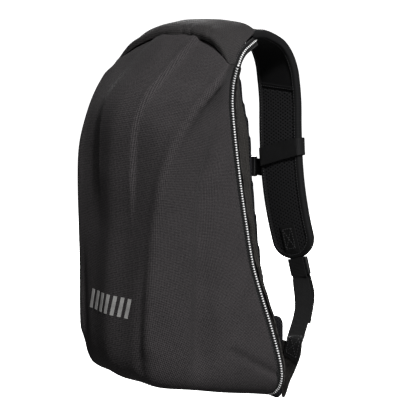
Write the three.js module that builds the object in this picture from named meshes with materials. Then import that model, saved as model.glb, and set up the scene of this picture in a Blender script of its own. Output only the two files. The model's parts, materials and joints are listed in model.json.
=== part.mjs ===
// A commuter's hard shell backpack: a moulded shell zipped to a soft back, worn on two padded straps.
// Millimetres, +Z up, +Y towards the wearer's back, +X towards the wearer's right hand.
// Inside this file heights are measured down from the ridge of the bag. The finished group is then moved
// so that its origin is the middle of the back between the strap roots, where the wearer's back holds it.
import * as THREE from 'three';

// The bag as a whole
const HEIGHT = 482;
const DEPTH = 184;
const HALF_WIDTH = 163;
const HANG_DROP = 30;

// Moulded shell
const SHELL_WALL = 3;
const FOLD_OUT = 28;
const FOLD_CROWN = 5;
const RIM_DEPTH_TOP = 57;
const RIM_DEPTH_FOOT = 32;
const CREASE_SHARPNESS = 0.45;

// Zip tape and piping round the rim
const SEAM_GAP = 0.3;
const TAPE_WIDTH = 12;
const TAPE_THICKNESS = 2;
const PIPING_DIAMETER = 3.2;
const PIPING_GAP = 0.6;

// Soft back
const GUSSET_WALL = 2.4;
const GUSSET_FOLD = 2;
const BACK_PAD_THICKNESS = 12;
const BACK_PAD_ROUNDING = 4;
const BACK_TOP_DROP = 24;
const BACK_TOP_CROWN = 15;
const YOKE_WALL = 3;
const YOKE_REACH = 4;

// Lumbar pad and its wings
const LUMBAR_HALF_WIDTH = 134;
const LUMBAR_HEIGHT = 116;
const LUMBAR_THICKNESS = 13;
const LUMBAR_ROUNDING = 5;
const LUMBAR_OVERHANG = 18;
const TAB_THICKNESS = 3.5;
const TAB_REACH = 30;
const TAB_HEIGHT = 78;
const TAB_TIP_HEIGHT = 20;

// Shoulder straps
const STRAP_WIDTH = 66;
const STRAP_ROOT_WIDTH = 60;
const STRAP_THICKNESS = 12;
const STRAP_DROP = 318;
const STRAP_STAND_OFF = 78;
const STRAP_ROOT_GAP = 0.9;
const STRAP_ROOT_OUT = 49;
const STRAP_SPREAD = 57;
const STRAP_TIP = 26;
const STRAP_TIP_NARROWEST = 0.3;

// Sternum strap
const STERNUM_WIDTH = 24;
const STERNUM_THICKNESS = 2;
const STERNUM_DROP = 184;
const STERNUM_TILT = 0.16;
const STERNUM_CLEARANCE = 0.6;
const STERNUM_LEAN = 1.9;
const SLIDER_LENGTH = 9;
const SLIDER_GAP = 0.5;
const SLIDER_EASE = 0.2;
const SLIDER_THICKNESS = 6;
const BUCKLE_LENGTH = 36;
const BUCKLE_HEIGHT = 32;
const BUCKLE_THICKNESS = 9;
const BUCKLE_ROUNDING = 3;

// Lower adjusters and webbing
const WEB_WIDTH = 25;
const WEB_THICKNESS = 1.8;
const TAIL_SHARE = 0.78;
const TAIL_MIDDLE_SHARE = 0.5;
const TAIL_STAND_OFF = 11;
const WEB_BOW_OUT = 3;
const WEB_BOW_BACK = 9;
const WEB_TURN_IN = 6;
const WEB_LEAD = 5;
const WEB_STEPS = 16;
const LOCK_WIDTH = 34;
const LOCK_HEIGHT = 24;
const LOCK_THICKNESS = 5;
const LOCK_SLOT = 3;
const LOCK_BAR = 4;

// Reflective patch low on the front, as shares of the shell's span and length
const PATCH_SPAN = 0.33;
const PATCH_TOP = 0.532;
const PATCH_FOOT = 0.562;
const PATCH_THICKNESS = 1;
const PATCH_LIFT = 0.5;
const PATCH_STEPS = 4;

// How finely the soft forms are cut into facets
const ACROSS_STEPS = 3;
const DOWN_STEPS = 2;
const ROUND_SIDES = 8;

const v3 = (x, y, z) => new THREE.Vector3(x, y, z);
const mirrored = (p) => v3(-p.x, p.y, p.z);
const Y_AXIS = v3(0, 1, 0);
const X_AXIS = v3(1, 0, 0);

// A closed body from shared corners and triangles, with its faces turned outwards
function closedBody(corners, triangles) {
  let volume = 0;
  for (const [a, b, c] of triangles) {
    volume += corners[a].dot(v3().crossVectors(corners[b], corners[c]));
  }
  const faces = volume < 0 ? triangles.map(([a, b, c]) => [a, c, b]) : triangles;
  const places = corners.flatMap((corner) => corner.toArray());
  const geometry = new THREE.BufferGeometry();
  geometry.setAttribute('position', new THREE.Float32BufferAttribute(places, 3));
  geometry.setIndex(faces.flat());
  geometry.computeVertexNormals();
  return geometry;
}

// A wall between two grids of points with the same rows and columns, closed round its four edges
function wallBetween(outer, inner) {
  const rows = outer.length;
  const columns = outer[0].length;
  const count = rows * columns;
  const at = (i, j) => i * columns + j;
  const triangles = [];
  const quad = (a, b, c, d) => triangles.push([a, b, c], [a, c, d]);
  for (let i = 0; i + 1 < rows; i++) {
    for (let j = 0; j + 1 < columns; j++) {
      quad(at(i, j), at(i, j + 1), at(i + 1, j + 1), at(i + 1, j));
      quad(count + at(i, j), count + at(i + 1, j), count + at(i + 1, j + 1), count + at(i, j + 1));
    }
  }
  const edge = [];
  for (let j = 0; j < columns; j++) edge.push(at(0, j));
  for (let i = 1; i < rows; i++) edge.push(at(i, columns - 1));
  for (let j = columns - 2; j >= 0; j--) edge.push(at(rows - 1, j));
  for (let i = rows - 2; i > 0; i--) edge.push(at(i, 0));
  edge.forEach((a, k) => {
    const b = edge[(k + 1) % edge.length];
    quad(b, a, count + a, count + b);
  });
  return closedBody([...outer.flat(), ...inner.flat()], triangles);
}

// A closed body through rings of points. The ends are capped by the triangles of the section's outline,
// or the last ring joins the first one where there is no outline to cap with.
function throughRings(rings, outline) {
  const sides = rings[0].length;
  const triangles = [];
  rings.forEach((_, i) => {
    if (outline && i + 1 === rings.length) return;
    const next = (i + 1) % rings.length;
    for (let k = 0; k < sides; k++) {
      const turn = (k + 1) % sides;
      const [a, b] = [i * sides + k, i * sides + turn];
      const [c, d] = [next * sides + turn, next * sides + k];
      triangles.push([a, b, c], [a, c, d]);
    }
  });
  if (outline) {
    const last = (rings.length - 1) * sides;
    const flat = outline.map(([across, out]) => new THREE.Vector2(across, out));
    const turned = THREE.ShapeUtils.isClockWise(flat) ? -1 : 1;
    for (const [a, b, c] of THREE.ShapeUtils.triangulateShape(flat, [])) {
      const [p, q] = turned > 0 ? [b, c] : [c, b];
      triangles.push([a, q, p], [last + a, last + p, last + q]);
    }
  }
  return closedBody(rings.flat(), triangles);
}

// Corners of a section, as pairs of how far across and how far out
function rectangle(width, thickness) {
  const w = width / 2;
  const t = thickness / 2;
  return [[-w, -t], [w, -t], [w, t], [-w, t]];
}

function roundedBar(width, thickness, rounding) {
  const w = width / 2;
  const t = thickness / 2;
  const r = Math.min(rounding, w, t);
  return [[-w + r, -t], [w - r, -t], [w, -t + r], [w, t - r],
    [w - r, t], [-w + r, t], [-w, t - r], [-w, -t + r]];
}

function roundRod(diameter) {
  const angles = Array.from({ length: ROUND_SIDES }, (_, k) => (k / ROUND_SIDES) * 2 * Math.PI);
  return angles.map((angle) => [Math.cos(angle) * diameter / 2, Math.sin(angle) * diameter / 2]);
}

// A ring of points: a section laid across a frame of a point, a width direction and a face direction
function ringAt(frame, section) {
  return section.map(([across, out]) => frame.point.clone()
    .addScaledVector(frame.wide, across)
    .addScaledVector(frame.face, out));
}

// Frames along a line of points, with the width kept as near as it can be to a given direction
function framesAlong(points, wideHint) {
  return points.map((point, k) => {
    const next = points[Math.min(k + 1, points.length - 1)];
    const past = points[Math.max(k - 1, 0)];
    const run = next.clone().sub(past).normalize();
    const wide = wideHint.clone().addScaledVector(run, -wideHint.dot(run)).normalize();
    const face = v3().crossVectors(wide, run).normalize();
    return { point, run, wide, face };
  });
}

function smoothLine(points, steps) {
  return new THREE.CatmullRomCurve3(points).getPoints(steps);
}

// The value of a table's column at a share of the way down, between the rows that lie round it
function readTable(rows, keyName, columnName, key) {
  const above = rows.filter((row) => row[keyName] <= key).pop() ?? rows[0];
  const below = rows.find((row) => row[keyName] > key) ?? rows[rows.length - 1];
  const span = below[keyName] - above[keyName];
  const share = span > 0 ? (key - above[keyName]) / span : 0;
  return above[columnName] + (below[columnName] - above[columnName]) * share;
}

// Sections of the shell from the seam under the yoke, down the front and under the foot to the lower rim.
// Drops are shares of HEIGHT, depths of DEPTH and outs of HALF_WIDTH. The ridge is the long soft edge
// between front and flank, and the valley is the shallow hollow in the middle of the flank.
const SHELL_SECTIONS = [
  { drop: 0.046, depth: 0.353, ridgeDrop: 0.112, ridgeOut: 0.663, ridgeDepth: 0.391, valleyOut: 0.638,
    valleyDepth: 0.342, rimDrop: 0.118, rimOut: 0.607 },
  { drop: 0.118, depth: 0.560, ridgeDrop: 0.172, ridgeOut: 0.650, ridgeDepth: 0.549, valleyOut: 0.607,
    valleyDepth: 0.391, rimDrop: 0.162, rimOut: 0.558 },
  { drop: 0.191, depth: 0.777, ridgeDrop: 0.220, ridgeOut: 0.613, ridgeDepth: 0.658, valleyOut: 0.577,
    valleyDepth: 0.446, rimDrop: 0.216, rimOut: 0.537 },
  { drop: 0.249, depth: 0.870, ridgeDrop: 0.276, ridgeOut: 0.571, ridgeDepth: 0.755, valleyOut: 0.571,
    valleyDepth: 0.489, rimDrop: 0.274, rimOut: 0.546 },
  { drop: 0.338, depth: 0.902, ridgeDrop: 0.342, ridgeOut: 0.540, ridgeDepth: 0.832, valleyOut: 0.558,
    valleyDepth: 0.522, rimDrop: 0.346, rimOut: 0.567 },
  { drop: 0.444, depth: 0.929, ridgeDrop: 0.444, ridgeOut: 0.491, ridgeDepth: 0.880, valleyOut: 0.540,
    valleyDepth: 0.533, rimDrop: 0.444, rimOut: 0.604 },
  { drop: 0.548, depth: 0.957, ridgeDrop: 0.548, ridgeOut: 0.451, ridgeDepth: 0.908, valleyOut: 0.546,
    valleyDepth: 0.538, rimDrop: 0.548, rimOut: 0.653 },
  { drop: 0.654, depth: 0.984, ridgeDrop: 0.654, ridgeOut: 0.429, ridgeDepth: 0.924, valleyOut: 0.564,
    valleyDepth: 0.549, rimDrop: 0.654, rimOut: 0.715 },
  { drop: 0.780, depth: 1.000, ridgeDrop: 0.780, ridgeOut: 0.411, ridgeDepth: 0.940, valleyOut: 0.595,
    valleyDepth: 0.582, rimDrop: 0.780, rimOut: 0.856 },
  { drop: 0.880, depth: 0.995, ridgeDrop: 0.880, ridgeOut: 0.393, ridgeDepth: 0.935, valleyOut: 0.613,
    valleyDepth: 0.630, rimDrop: 0.880, rimOut: 0.957 },
  { drop: 0.934, depth: 0.935, ridgeDrop: 0.932, ridgeOut: 0.374, ridgeDepth: 0.897, valleyOut: 0.626,
    valleyDepth: 0.620, rimDrop: 0.925, rimOut: 0.982 },
  { drop: 0.967, depth: 0.783, ridgeDrop: 0.961, ridgeOut: 0.374, ridgeDepth: 0.783, valleyOut: 0.632,
    valleyDepth: 0.565, rimDrop: 0.959, rimOut: 0.966 },
  { drop: 0.983, depth: 0.554, ridgeDrop: 0.979, ridgeOut: 0.374, ridgeDepth: 0.543, valleyOut: 0.626,
    valleyDepth: 0.457, rimDrop: 0.985, rimOut: 0.911 },
  { drop: 0.996, depth: 0.337, ridgeDrop: 0.994, ridgeOut: 0.387, ridgeDepth: 0.332, valleyOut: 0.613,
    valleyDepth: 0.293, rimDrop: 0.998, rimOut: 0.822 },
  { drop: 1.000, depth: 0.174, ridgeDrop: 1.000, ridgeOut: 0.393, ridgeDepth: 0.174, valleyOut: 0.601,
    valleyDepth: 0.174, rimDrop: 1.000, rimOut: 0.724 },
];
const SHELL_COLUMNS = 8;

const rimDepth = (drop) => RIM_DEPTH_TOP + (RIM_DEPTH_FOOT - RIM_DEPTH_TOP) * drop;

// The five points of the right half of one section, from the middle of the front out to the rim
function halfSection(row, isFoot) {
  const crown = isFoot ? 0 : FOLD_CROWN;
  return [
    v3(0, -row.depth * DEPTH, -row.drop * HEIGHT),
    v3(FOLD_OUT, -row.depth * DEPTH + crown, -row.drop * HEIGHT),
    v3(row.ridgeOut * HALF_WIDTH, -row.ridgeDepth * DEPTH, -row.ridgeDrop * HEIGHT),
    v3(row.valleyOut * HALF_WIDTH, -row.valleyDepth * DEPTH, -(row.ridgeDrop + row.rimDrop) / 2 * HEIGHT),
    v3(row.rimOut * HALF_WIDTH, -rimDepth(row.rimDrop), -row.rimDrop * HEIGHT),
  ];
}

const shellColumns = (() => {
  const halves = SHELL_SECTIONS.map((row, k) => halfSection(row, k === SHELL_SECTIONS.length - 1));
  const right = halves[0].map((_, column) => halves.map((half) => half[column]));
  const left = right.slice(1).reverse().map((points) => points.map(mirrored));
  return [...left, ...right].map((points) => new THREE.CatmullRomCurve3(points));
})();

// A point of the shell's outside: across runs from the left rim to the right one, down from seam to foot
function shellPoint(across, down) {
  const row = shellColumns.map((column) => column.getPoint(down));
  const smooth = new THREE.CatmullRomCurve3(row).getPoint(across);
  const place = Math.min(across * SHELL_COLUMNS, SHELL_COLUMNS - 1e-9);
  const k = Math.floor(place);
  const straight = row[k].clone().lerp(row[k + 1], place - k);
  return smooth.lerp(straight, CREASE_SHARPNESS);
}

// The outward direction of a grid at one of its points, from its neighbours
function gridNormal(grid, i, j) {
  const down = grid[Math.min(i + 1, grid.length - 1)][j].clone().sub(grid[Math.max(i - 1, 0)][j]);
  const row = grid[i];
  const across = row[Math.min(j + 1, row.length - 1)].clone().sub(row[Math.max(j - 1, 0)]);
  return v3().crossVectors(across, down).normalize().negate();
}

const shellRows = (SHELL_SECTIONS.length - 1) * DOWN_STEPS;
const shellCuts = SHELL_COLUMNS * ACROSS_STEPS;
const shellOuter = Array.from({ length: shellRows + 1 }, (_, i) => (
  Array.from({ length: shellCuts + 1 }, (_, j) => shellPoint(j / shellCuts, i / shellRows))));

// Sections of the yoke from the shell's seam over the ridge to the strap roots, in the same shares, with
// its depth measured from the line of the strap roots.
// The middle and quarter points lie on its top, and the edge is its piped lower side.
const YOKE_SECTIONS = [
  { drop: 0.025, depth: 0.305, quarterDrop: 0.027, shoulderDrop: 0.041, shoulderOut: 0.442,
    edgeDrop: 0.093, edgeDepth: 0.272, edgeOut: 0.589 },
  { drop: 0.010, depth: 0.190, quarterDrop: 0.015, shoulderDrop: 0.031, shoulderOut: 0.454,
    edgeDrop: 0.068, edgeDepth: 0.201, edgeOut: 0.571 },
  { drop: 0.004, depth: 0.082, quarterDrop: 0.007, shoulderDrop: 0.020, shoulderOut: 0.429,
    edgeDrop: 0.048, edgeDepth: 0.114, edgeOut: 0.546 },
  { drop: 0.008, depth: 0, quarterDrop: 0.009, shoulderDrop: 0.013, shoulderOut: 0.405,
    edgeDrop: 0.029, edgeDepth: 0.011, edgeOut: 0.515 },
];
const QUARTER_OUT = 0.25;
const YOKE_STEPS = 2;

function yokeHalf(row) {
  return [
    v3(0, YOKE_REACH - row.depth * DEPTH, -row.drop * HEIGHT),
    v3(QUARTER_OUT * HALF_WIDTH, YOKE_REACH - row.depth * DEPTH, -row.quarterDrop * HEIGHT),
    v3(row.shoulderOut * HALF_WIDTH, YOKE_REACH - row.depth * DEPTH, -row.shoulderDrop * HEIGHT),
    v3(row.edgeOut * HALF_WIDTH, YOKE_REACH - row.edgeDepth * DEPTH, -row.edgeDrop * HEIGHT),
  ];
}

// The yoke's front row stands on the shell's own seam, a seam gap behind its edge
function yokeFrontRow(cuts) {
  return Array.from({ length: cuts + 1 }, (_, j) => {
    const edge = shellPoint(j / cuts, 0);
    const inside = shellPoint(j / cuts, 0.5 / shellRows);
    return edge.clone().addScaledVector(edge.clone().sub(inside).normalize(), SEAM_GAP);
  });
}

const yokeOuter = (() => {
  const cuts = shellCuts;
  const front = yokeFrontRow(cuts);
  const halves = YOKE_SECTIONS.map(yokeHalf);
  const rows = halves.map((half) => {
    const whole = [...half.slice(1).reverse().map(mirrored), ...half];
    return new THREE.CatmullRomCurve3(whole).getSpacedPoints(cuts);
  });
  const columns = front.map((first, j) => {
    const line = new THREE.CatmullRomCurve3([first, ...rows.map((row) => row[j])]);
    return line.getPoints(rows.length * YOKE_STEPS);
  });
  return columns[0].map((_, i) => columns.map((column) => column[i]));
})();

// The line that the tape, the piping and the gusset follow: up one side of the yoke's edge and the rim,
// along the foot, and back up the other side
const edgeLine = (() => {
  const lastRow = shellOuter.length - 1;
  const lastCut = shellOuter[0].length - 1;
  const yokeRight = yokeOuter.slice(1).map((row) => row[row.length - 1]).reverse();
  const rimRight = shellOuter.map((row) => row[lastCut]);
  const foot = shellOuter[lastRow].slice(1, lastCut).reverse();
  const right = [...yokeRight, ...rimRight];
  return [...right, ...foot, ...[...right].reverse().map(mirrored)];
})();

// Frames along the edge: wide runs towards the wearer, and face points out of the bag, away from a middle
// that is level with the point itself except round the foot
const FOOT_START = 0.75;
const edgeFrames = framesAlong(edgeLine, Y_AXIS).map((frame) => {
  const out = v3(frame.point.x, 0, Math.min(frame.point.z + HEIGHT * FOOT_START, 0));
  return { ...frame, face: frame.face.dot(out) < 0 ? frame.face.clone().negate() : frame.face };
});

function bandAlongEdge(section, start, lift) {
  return throughRings(edgeFrames.map((frame) => {
    const point = frame.point.clone().addScaledVector(frame.wide, start).addScaledVector(frame.face, lift);
    return ringAt({ ...frame, point }, section);
  }), section);
}

function shell() {
  const lastRow = shellOuter.length - 1;
  const lastCut = shellOuter[0].length - 1;
  const yokeCount = yokeOuter.length - 1;
  const inner = shellOuter.map((row, i) => row.map((point, j) => {
    const rimFrame = (() => {
      if (j === lastCut) return edgeFrames[yokeCount + i];
      if (j === 0) return edgeFrames[edgeFrames.length - 1 - yokeCount - i];
      if (i === lastRow) return edgeFrames[yokeCount + lastRow + lastCut - j];
      return null;
    })();
    const out = rimFrame ? rimFrame.face : gridNormal(shellOuter, i, j);
    return point.clone().addScaledVector(out, -SHELL_WALL);
  }));
  return wallBetween(shellOuter, inner);
}

function yoke() {
  const lastCut = yokeOuter[0].length - 1;
  const inner = yokeOuter.map((row, i) => row.map((point, j) => {
    const out = gridNormal(yokeOuter, i, Math.min(Math.max(j, 1), lastCut - 1));
    return point.clone().addScaledVector(out, -YOKE_WALL);
  }));
  return wallBetween(yokeOuter, inner);
}

// How far the back outline lies inside the edge line: wide at the neck, narrow beside the back pad
const BACK_INSETS = [
  { drop: 0.030, inset: 0.037 },
  { drop: 0.056, inset: 0.089 },
  { drop: 0.073, inset: 0.153 },
  { drop: 0.093, inset: 0.209 },
  { drop: 0.118, inset: 0.232 },
  { drop: 0.153, inset: 0.177 },
  { drop: 0.197, inset: 0.111 },
  { drop: 0.232, inset: 0.084 },
  { drop: 0.261, inset: 0.054 },
  { drop: 0.300, inset: 0.030 },
  { drop: 0.440, inset: 0.047 },
  { drop: 0.626, inset: 0.057 },
  { drop: 0.713, inset: 0.087 },
  { drop: 0.780, inset: 0.120 },
  { drop: 0.920, inset: 0.123 },
  { drop: 1.000, inset: 0.110 },
];

const backLine = edgeFrames.map((frame) => {
  const inset = readTable(BACK_INSETS, 'drop', 'inset', -frame.point.z / HEIGHT) * HALF_WIDTH;
  const point = frame.point.clone().addScaledVector(frame.face, -inset);
  return v3(point.x, -BACK_PAD_THICKNESS, point.z);
});

// The gusset bulges beside the tape and is folded in along its middle. Lifts are shares of GUSSET_FOLD.
const GUSSET_SECTIONS = [
  { share: 0, lift: 0 },
  { share: 0.25, lift: 0.75 },
  { share: 0.55, lift: -1 },
  { share: 0.8, lift: 0.4 },
  { share: 1, lift: 0 },
];

function gusset() {
  const strips = edgeFrames.map((frame, k) => ({
    start: frame.point.clone().addScaledVector(frame.wide, SEAM_GAP + TAPE_WIDTH + SEAM_GAP),
    end: backLine[k].clone().addScaledVector(Y_AXIS, -SEAM_GAP),
    face: frame.face,
  })).filter((strip) => strip.start.y < strip.end.y - GUSSET_WALL);
  const outer = GUSSET_SECTIONS.map((row) => strips.map(({ start, end, face }) => (
    start.clone().lerp(end, row.share).addScaledVector(face, row.lift * GUSSET_FOLD))));
  const inner = outer.map((row) => row.map((point, k) => (
    point.clone().addScaledVector(strips[k].face.clone().setY(0).normalize(), -GUSSET_WALL))));
  return wallBetween(outer, inner);
}

// The padded back, from its flat front to a back edge that is rounded over in two steps
const BACK_TOP_SHARES = [-0.5, 0, 0.5];
const FIRST_ROUNDING_STEP = 0.3;

function backPanel() {
  const sides = backLine.filter((point, k) => k % 2 === 0 && point.z <= -BACK_TOP_DROP);
  const top = BACK_TOP_SHARES.map((share) => v3(sides[0].x * share, sides[0].y,
    sides[0].z + BACK_TOP_CROWN * (1 - share * share)));
  const outline = [...sides, ...top];
  const middle = v3(0, sides[0].y, -HEIGHT / 2);
  const firstStep = BACK_PAD_ROUNDING * FIRST_ROUNDING_STEP;
  const layers = [[0, 0], [BACK_PAD_THICKNESS - BACK_PAD_ROUNDING, 0],
    [BACK_PAD_THICKNESS - firstStep, firstStep], [BACK_PAD_THICKNESS, BACK_PAD_ROUNDING]];
  const rings = layers.map(([rise, inset]) => outline.map((point) => {
    const inward = middle.clone().sub(point).setY(0);
    const shrink = inward.clone().multiply(v3(1 / HALF_WIDTH, 0, 2 / HEIGHT)).multiplyScalar(inset);
    return point.clone().add(shrink).addScaledVector(Y_AXIS, rise);
  }));
  return throughRings(rings, outline.map((point) => [point.x, point.z]));
}

function roundedPlate(width, height, corner) {
  const w = width / 2;
  const h = height / 2;
  const plate = new THREE.Shape();
  plate.moveTo(-w + corner, -h);
  plate.lineTo(w - corner, -h);
  plate.absarc(w - corner, -h + corner, corner, -Math.PI / 2, 0);
  plate.lineTo(w, h - corner);
  plate.absarc(w - corner, h - corner, corner, 0, Math.PI / 2);
  plate.lineTo(-w + corner, h);
  plate.absarc(-w + corner, h - corner, corner, Math.PI / 2, Math.PI);
  plate.lineTo(-w, -h + corner);
  plate.absarc(-w + corner, -h + corner, corner, Math.PI, 1.5 * Math.PI);
  return plate;
}

// A plate in the plane of the back, with rounded edges, whose front face lies at a given place along Y
function padPlate(width, height, thickness, rounding, corner, centreDrop, front) {
  const plate = roundedPlate(width - 2 * rounding, height - 2 * rounding, corner);
  const geometry = new THREE.ExtrudeGeometry(plate, { depth: thickness - 2 * rounding, curveSegments: 3,
    bevelEnabled: true, bevelThickness: rounding, bevelSize: rounding, bevelSegments: 2 });
  geometry.rotateX(Math.PI / 2);
  geometry.translate(0, front + thickness - rounding, -centreDrop);
  return geometry;
}

const LUMBAR_FRONT = SEAM_GAP;
const LUMBAR_MIDDLE_DROP = HEIGHT + LUMBAR_OVERHANG - LUMBAR_HEIGHT / 2;

function lumbarPad() {
  return padPlate(2 * LUMBAR_HALF_WIDTH, LUMBAR_HEIGHT, LUMBAR_THICKNESS, LUMBAR_ROUNDING, LUMBAR_ROUNDING,
    LUMBAR_MIDDLE_DROP, LUMBAR_FRONT);
}

// The wing that is sewn to the side of the lumbar pad and narrows to the end of the lower webbing
const TAB_MIDDLE_Y = LUMBAR_FRONT + LUMBAR_THICKNESS / 2;
const TAB_ROOT_X = LUMBAR_HALF_WIDTH + SEAM_GAP;
const TAB_ROOT_DROP = HEIGHT + LUMBAR_OVERHANG - LUMBAR_ROUNDING;

function anchorTab() {
  const wing = new THREE.Shape();
  wing.moveTo(TAB_ROOT_X, -TAB_ROOT_DROP);
  wing.lineTo(TAB_ROOT_X + TAB_REACH, -TAB_ROOT_DROP + TAB_HEIGHT - TAB_TIP_HEIGHT);
  wing.lineTo(TAB_ROOT_X + TAB_REACH, -TAB_ROOT_DROP + TAB_HEIGHT);
  wing.lineTo(TAB_ROOT_X, -TAB_ROOT_DROP + TAB_HEIGHT);
  const geometry = new THREE.ExtrudeGeometry(wing, { depth: TAB_THICKNESS, bevelEnabled: false });
  geometry.rotateX(Math.PI / 2);
  geometry.translate(0, TAB_MIDDLE_Y + TAB_THICKNESS / 2, 0);
  return geometry;
}

// The outer face of a shoulder strap, from its root at the yoke to its tip: how far it stands behind the
// bag, how far down it is, and how far it has spread outwards
const STRAP_COURSE = [
  { stand: 0.000, drop: 0.028, spread: 0.000 },
  { stand: 0.136, drop: 0.027, spread: 0.018 },
  { stand: 0.328, drop: 0.033, spread: 0.044 },
  { stand: 0.520, drop: 0.052, spread: 0.079 },
  { stand: 0.723, drop: 0.082, spread: 0.114 },
  { stand: 0.872, drop: 0.127, spread: 0.147 },
  { stand: 0.968, drop: 0.188, spread: 0.186 },
  { stand: 1.011, drop: 0.264, spread: 0.223 },
  { stand: 1.021, drop: 0.340, spread: 0.261 },
  { stand: 0.979, drop: 0.456, spread: 0.328 },
  { stand: 0.936, drop: 0.582, spread: 0.421 },
  { stand: 0.909, drop: 0.708, spread: 0.544 },
  { stand: 0.899, drop: 0.834, spread: 0.716 },
  { stand: 0.904, drop: 0.943, spread: 0.905 },
  { stand: 0.909, drop: 1.000, spread: 1.000 },
];
const STRAP_STEPS = 30;
const STRAP_ROLL = 0.13;
const STRAP_ROLL_SHARE = 0.3;

const strapFrames = (() => {
  const rootY = YOKE_REACH + STRAP_ROOT_GAP;
  const outerFace = STRAP_COURSE.map((row) => v3(STRAP_ROOT_OUT + STRAP_SPREAD * row.spread,
    rootY + (STRAP_STAND_OFF - rootY) * row.stand, -STRAP_DROP * row.drop));
  const line = new THREE.CatmullRomCurve3(outerFace).getSpacedPoints(STRAP_STEPS);
  return framesAlong(line, X_AXIS).map((frame, k) => {
    const share = k / STRAP_STEPS;
    const roll = STRAP_ROLL * Math.max(0, 1 - share / STRAP_ROLL_SHARE);
    const wide = frame.wide.clone().addScaledVector(frame.face, -roll).normalize();
    const face = v3().crossVectors(wide, frame.run).normalize();
    const point = frame.point.clone().addScaledVector(face, -STRAP_THICKNESS / 2);
    return { ...frame, wide, face, point };
  });
})();

const strapLength = strapFrames.slice(1).reduce((sum, frame, k) => (
  sum + frame.point.distanceTo(strapFrames[k].point)), 0);

function shoulderPad() {
  const rings = strapFrames.map((frame, k) => {
    const past = Math.max(0, (k / STRAP_STEPS - 1) * strapLength + STRAP_TIP) / STRAP_TIP;
    const taper = Math.max(Math.sqrt(1 - past * past), STRAP_TIP_NARROWEST);
    const rootShare = Math.min(k / STRAP_STEPS / STRAP_ROLL_SHARE, 1);
    const width = STRAP_ROOT_WIDTH + (STRAP_WIDTH - STRAP_ROOT_WIDTH) * rootShare;
    return ringAt(frame, roundedBar(width * taper, STRAP_THICKNESS, STRAP_THICKNESS / 3));
  });
  return throughRings(rings, roundedBar(STRAP_WIDTH, STRAP_THICKNESS, STRAP_THICKNESS / 3));
}

// The strap's frame at a given drop
function strapFrameAt(drop) {
  return strapFrames.reduce((best, frame) => (
    Math.abs(-frame.point.z - drop) < Math.abs(-best.point.z - drop) ? frame : best));
}

// A closed band of webbing or plastic round a bar-shaped section, some way off its faces
function bandAround(frame, section, clearance, thickness, width, tilt) {
  const [barWidth, barThickness, rounding] = section;
  const grown = (more) => roundedBar(barWidth + 2 * more, barThickness + 2 * more, rounding + more);
  const within = grown(clearance);
  const without = grown(clearance + thickness);
  const rings = within.map((_, k) => {
    const corner = ([across, out], along) => frame.point.clone()
      .addScaledVector(frame.wide, across)
      .addScaledVector(frame.face, out)
      .addScaledVector(frame.run, along - tilt * across);
    return [corner(within[k], -width / 2), corner(within[k], width / 2),
      corner(without[k], width / 2), corner(without[k], -width / 2)];
  });
  return throughRings(rings);
}

const sternumFrame = strapFrameAt(STERNUM_DROP);
const sternumReach = STRAP_WIDTH / 2 + STERNUM_CLEARANCE + STERNUM_THICKNESS + SEAM_GAP;

function sternumLoop() {
  return bandAround(sternumFrame, [STRAP_WIDTH, STRAP_THICKNESS, STRAP_THICKNESS / 3], STERNUM_CLEARANCE,
    STERNUM_THICKNESS, STERNUM_WIDTH, STERNUM_TILT);
}

// The webbing between the loop and the buckle, level, at the height where the loop's inner side lies
const sternumSide = sternumFrame.point.clone()
  .addScaledVector(sternumFrame.wide, -sternumReach)
  .addScaledVector(sternumFrame.run, STERNUM_TILT * sternumReach);

function boxBetween(fromX, toX, thickness, height, centre) {
  const geometry = new THREE.BoxGeometry(toX - fromX, thickness, height);
  geometry.translate((fromX + toX) / 2, centre.y, centre.z);
  return geometry;
}

function sternumWeb() {
  return boxBetween(BUCKLE_LENGTH / 2 + SEAM_GAP, sternumSide.x - STERNUM_LEAN, STERNUM_THICKNESS,
    STERNUM_WIDTH, sternumSide);
}

function sternumSlider() {
  const point = sternumSide.clone().setX(BUCKLE_LENGTH / 2 + SEAM_GAP + SLIDER_GAP + SLIDER_LENGTH / 2);
  const frame = { point, run: X_AXIS, wide: v3(0, 0, 1), face: Y_AXIS };
  return bandAround(frame, [STERNUM_WIDTH, STERNUM_THICKNESS, SLIDER_EASE], SEAM_GAP,
    (SLIDER_THICKNESS - STERNUM_THICKNESS) / 2 - SEAM_GAP, SLIDER_LENGTH, 0);
}

function sternumBuckle() {
  return padPlate(BUCKLE_LENGTH, BUCKLE_HEIGHT, BUCKLE_THICKNESS, BUCKLE_ROUNDING, BUCKLE_ROUNDING,
    -sternumSide.z, sternumSide.y - BUCKLE_THICKNESS / 2);
}

// The ladder lock hangs from the strap's tip, with the webbing in front of it and its tail behind
const strapTip = strapFrames[strapFrames.length - 1];
const lockFrame = { ...strapTip,
  point: strapTip.point.clone().addScaledVector(strapTip.run, SEAM_GAP + LOCK_HEIGHT / 2) };
const webOffset = LOCK_THICKNESS / 2 + SEAM_GAP + WEB_THICKNESS / 2;

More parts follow.
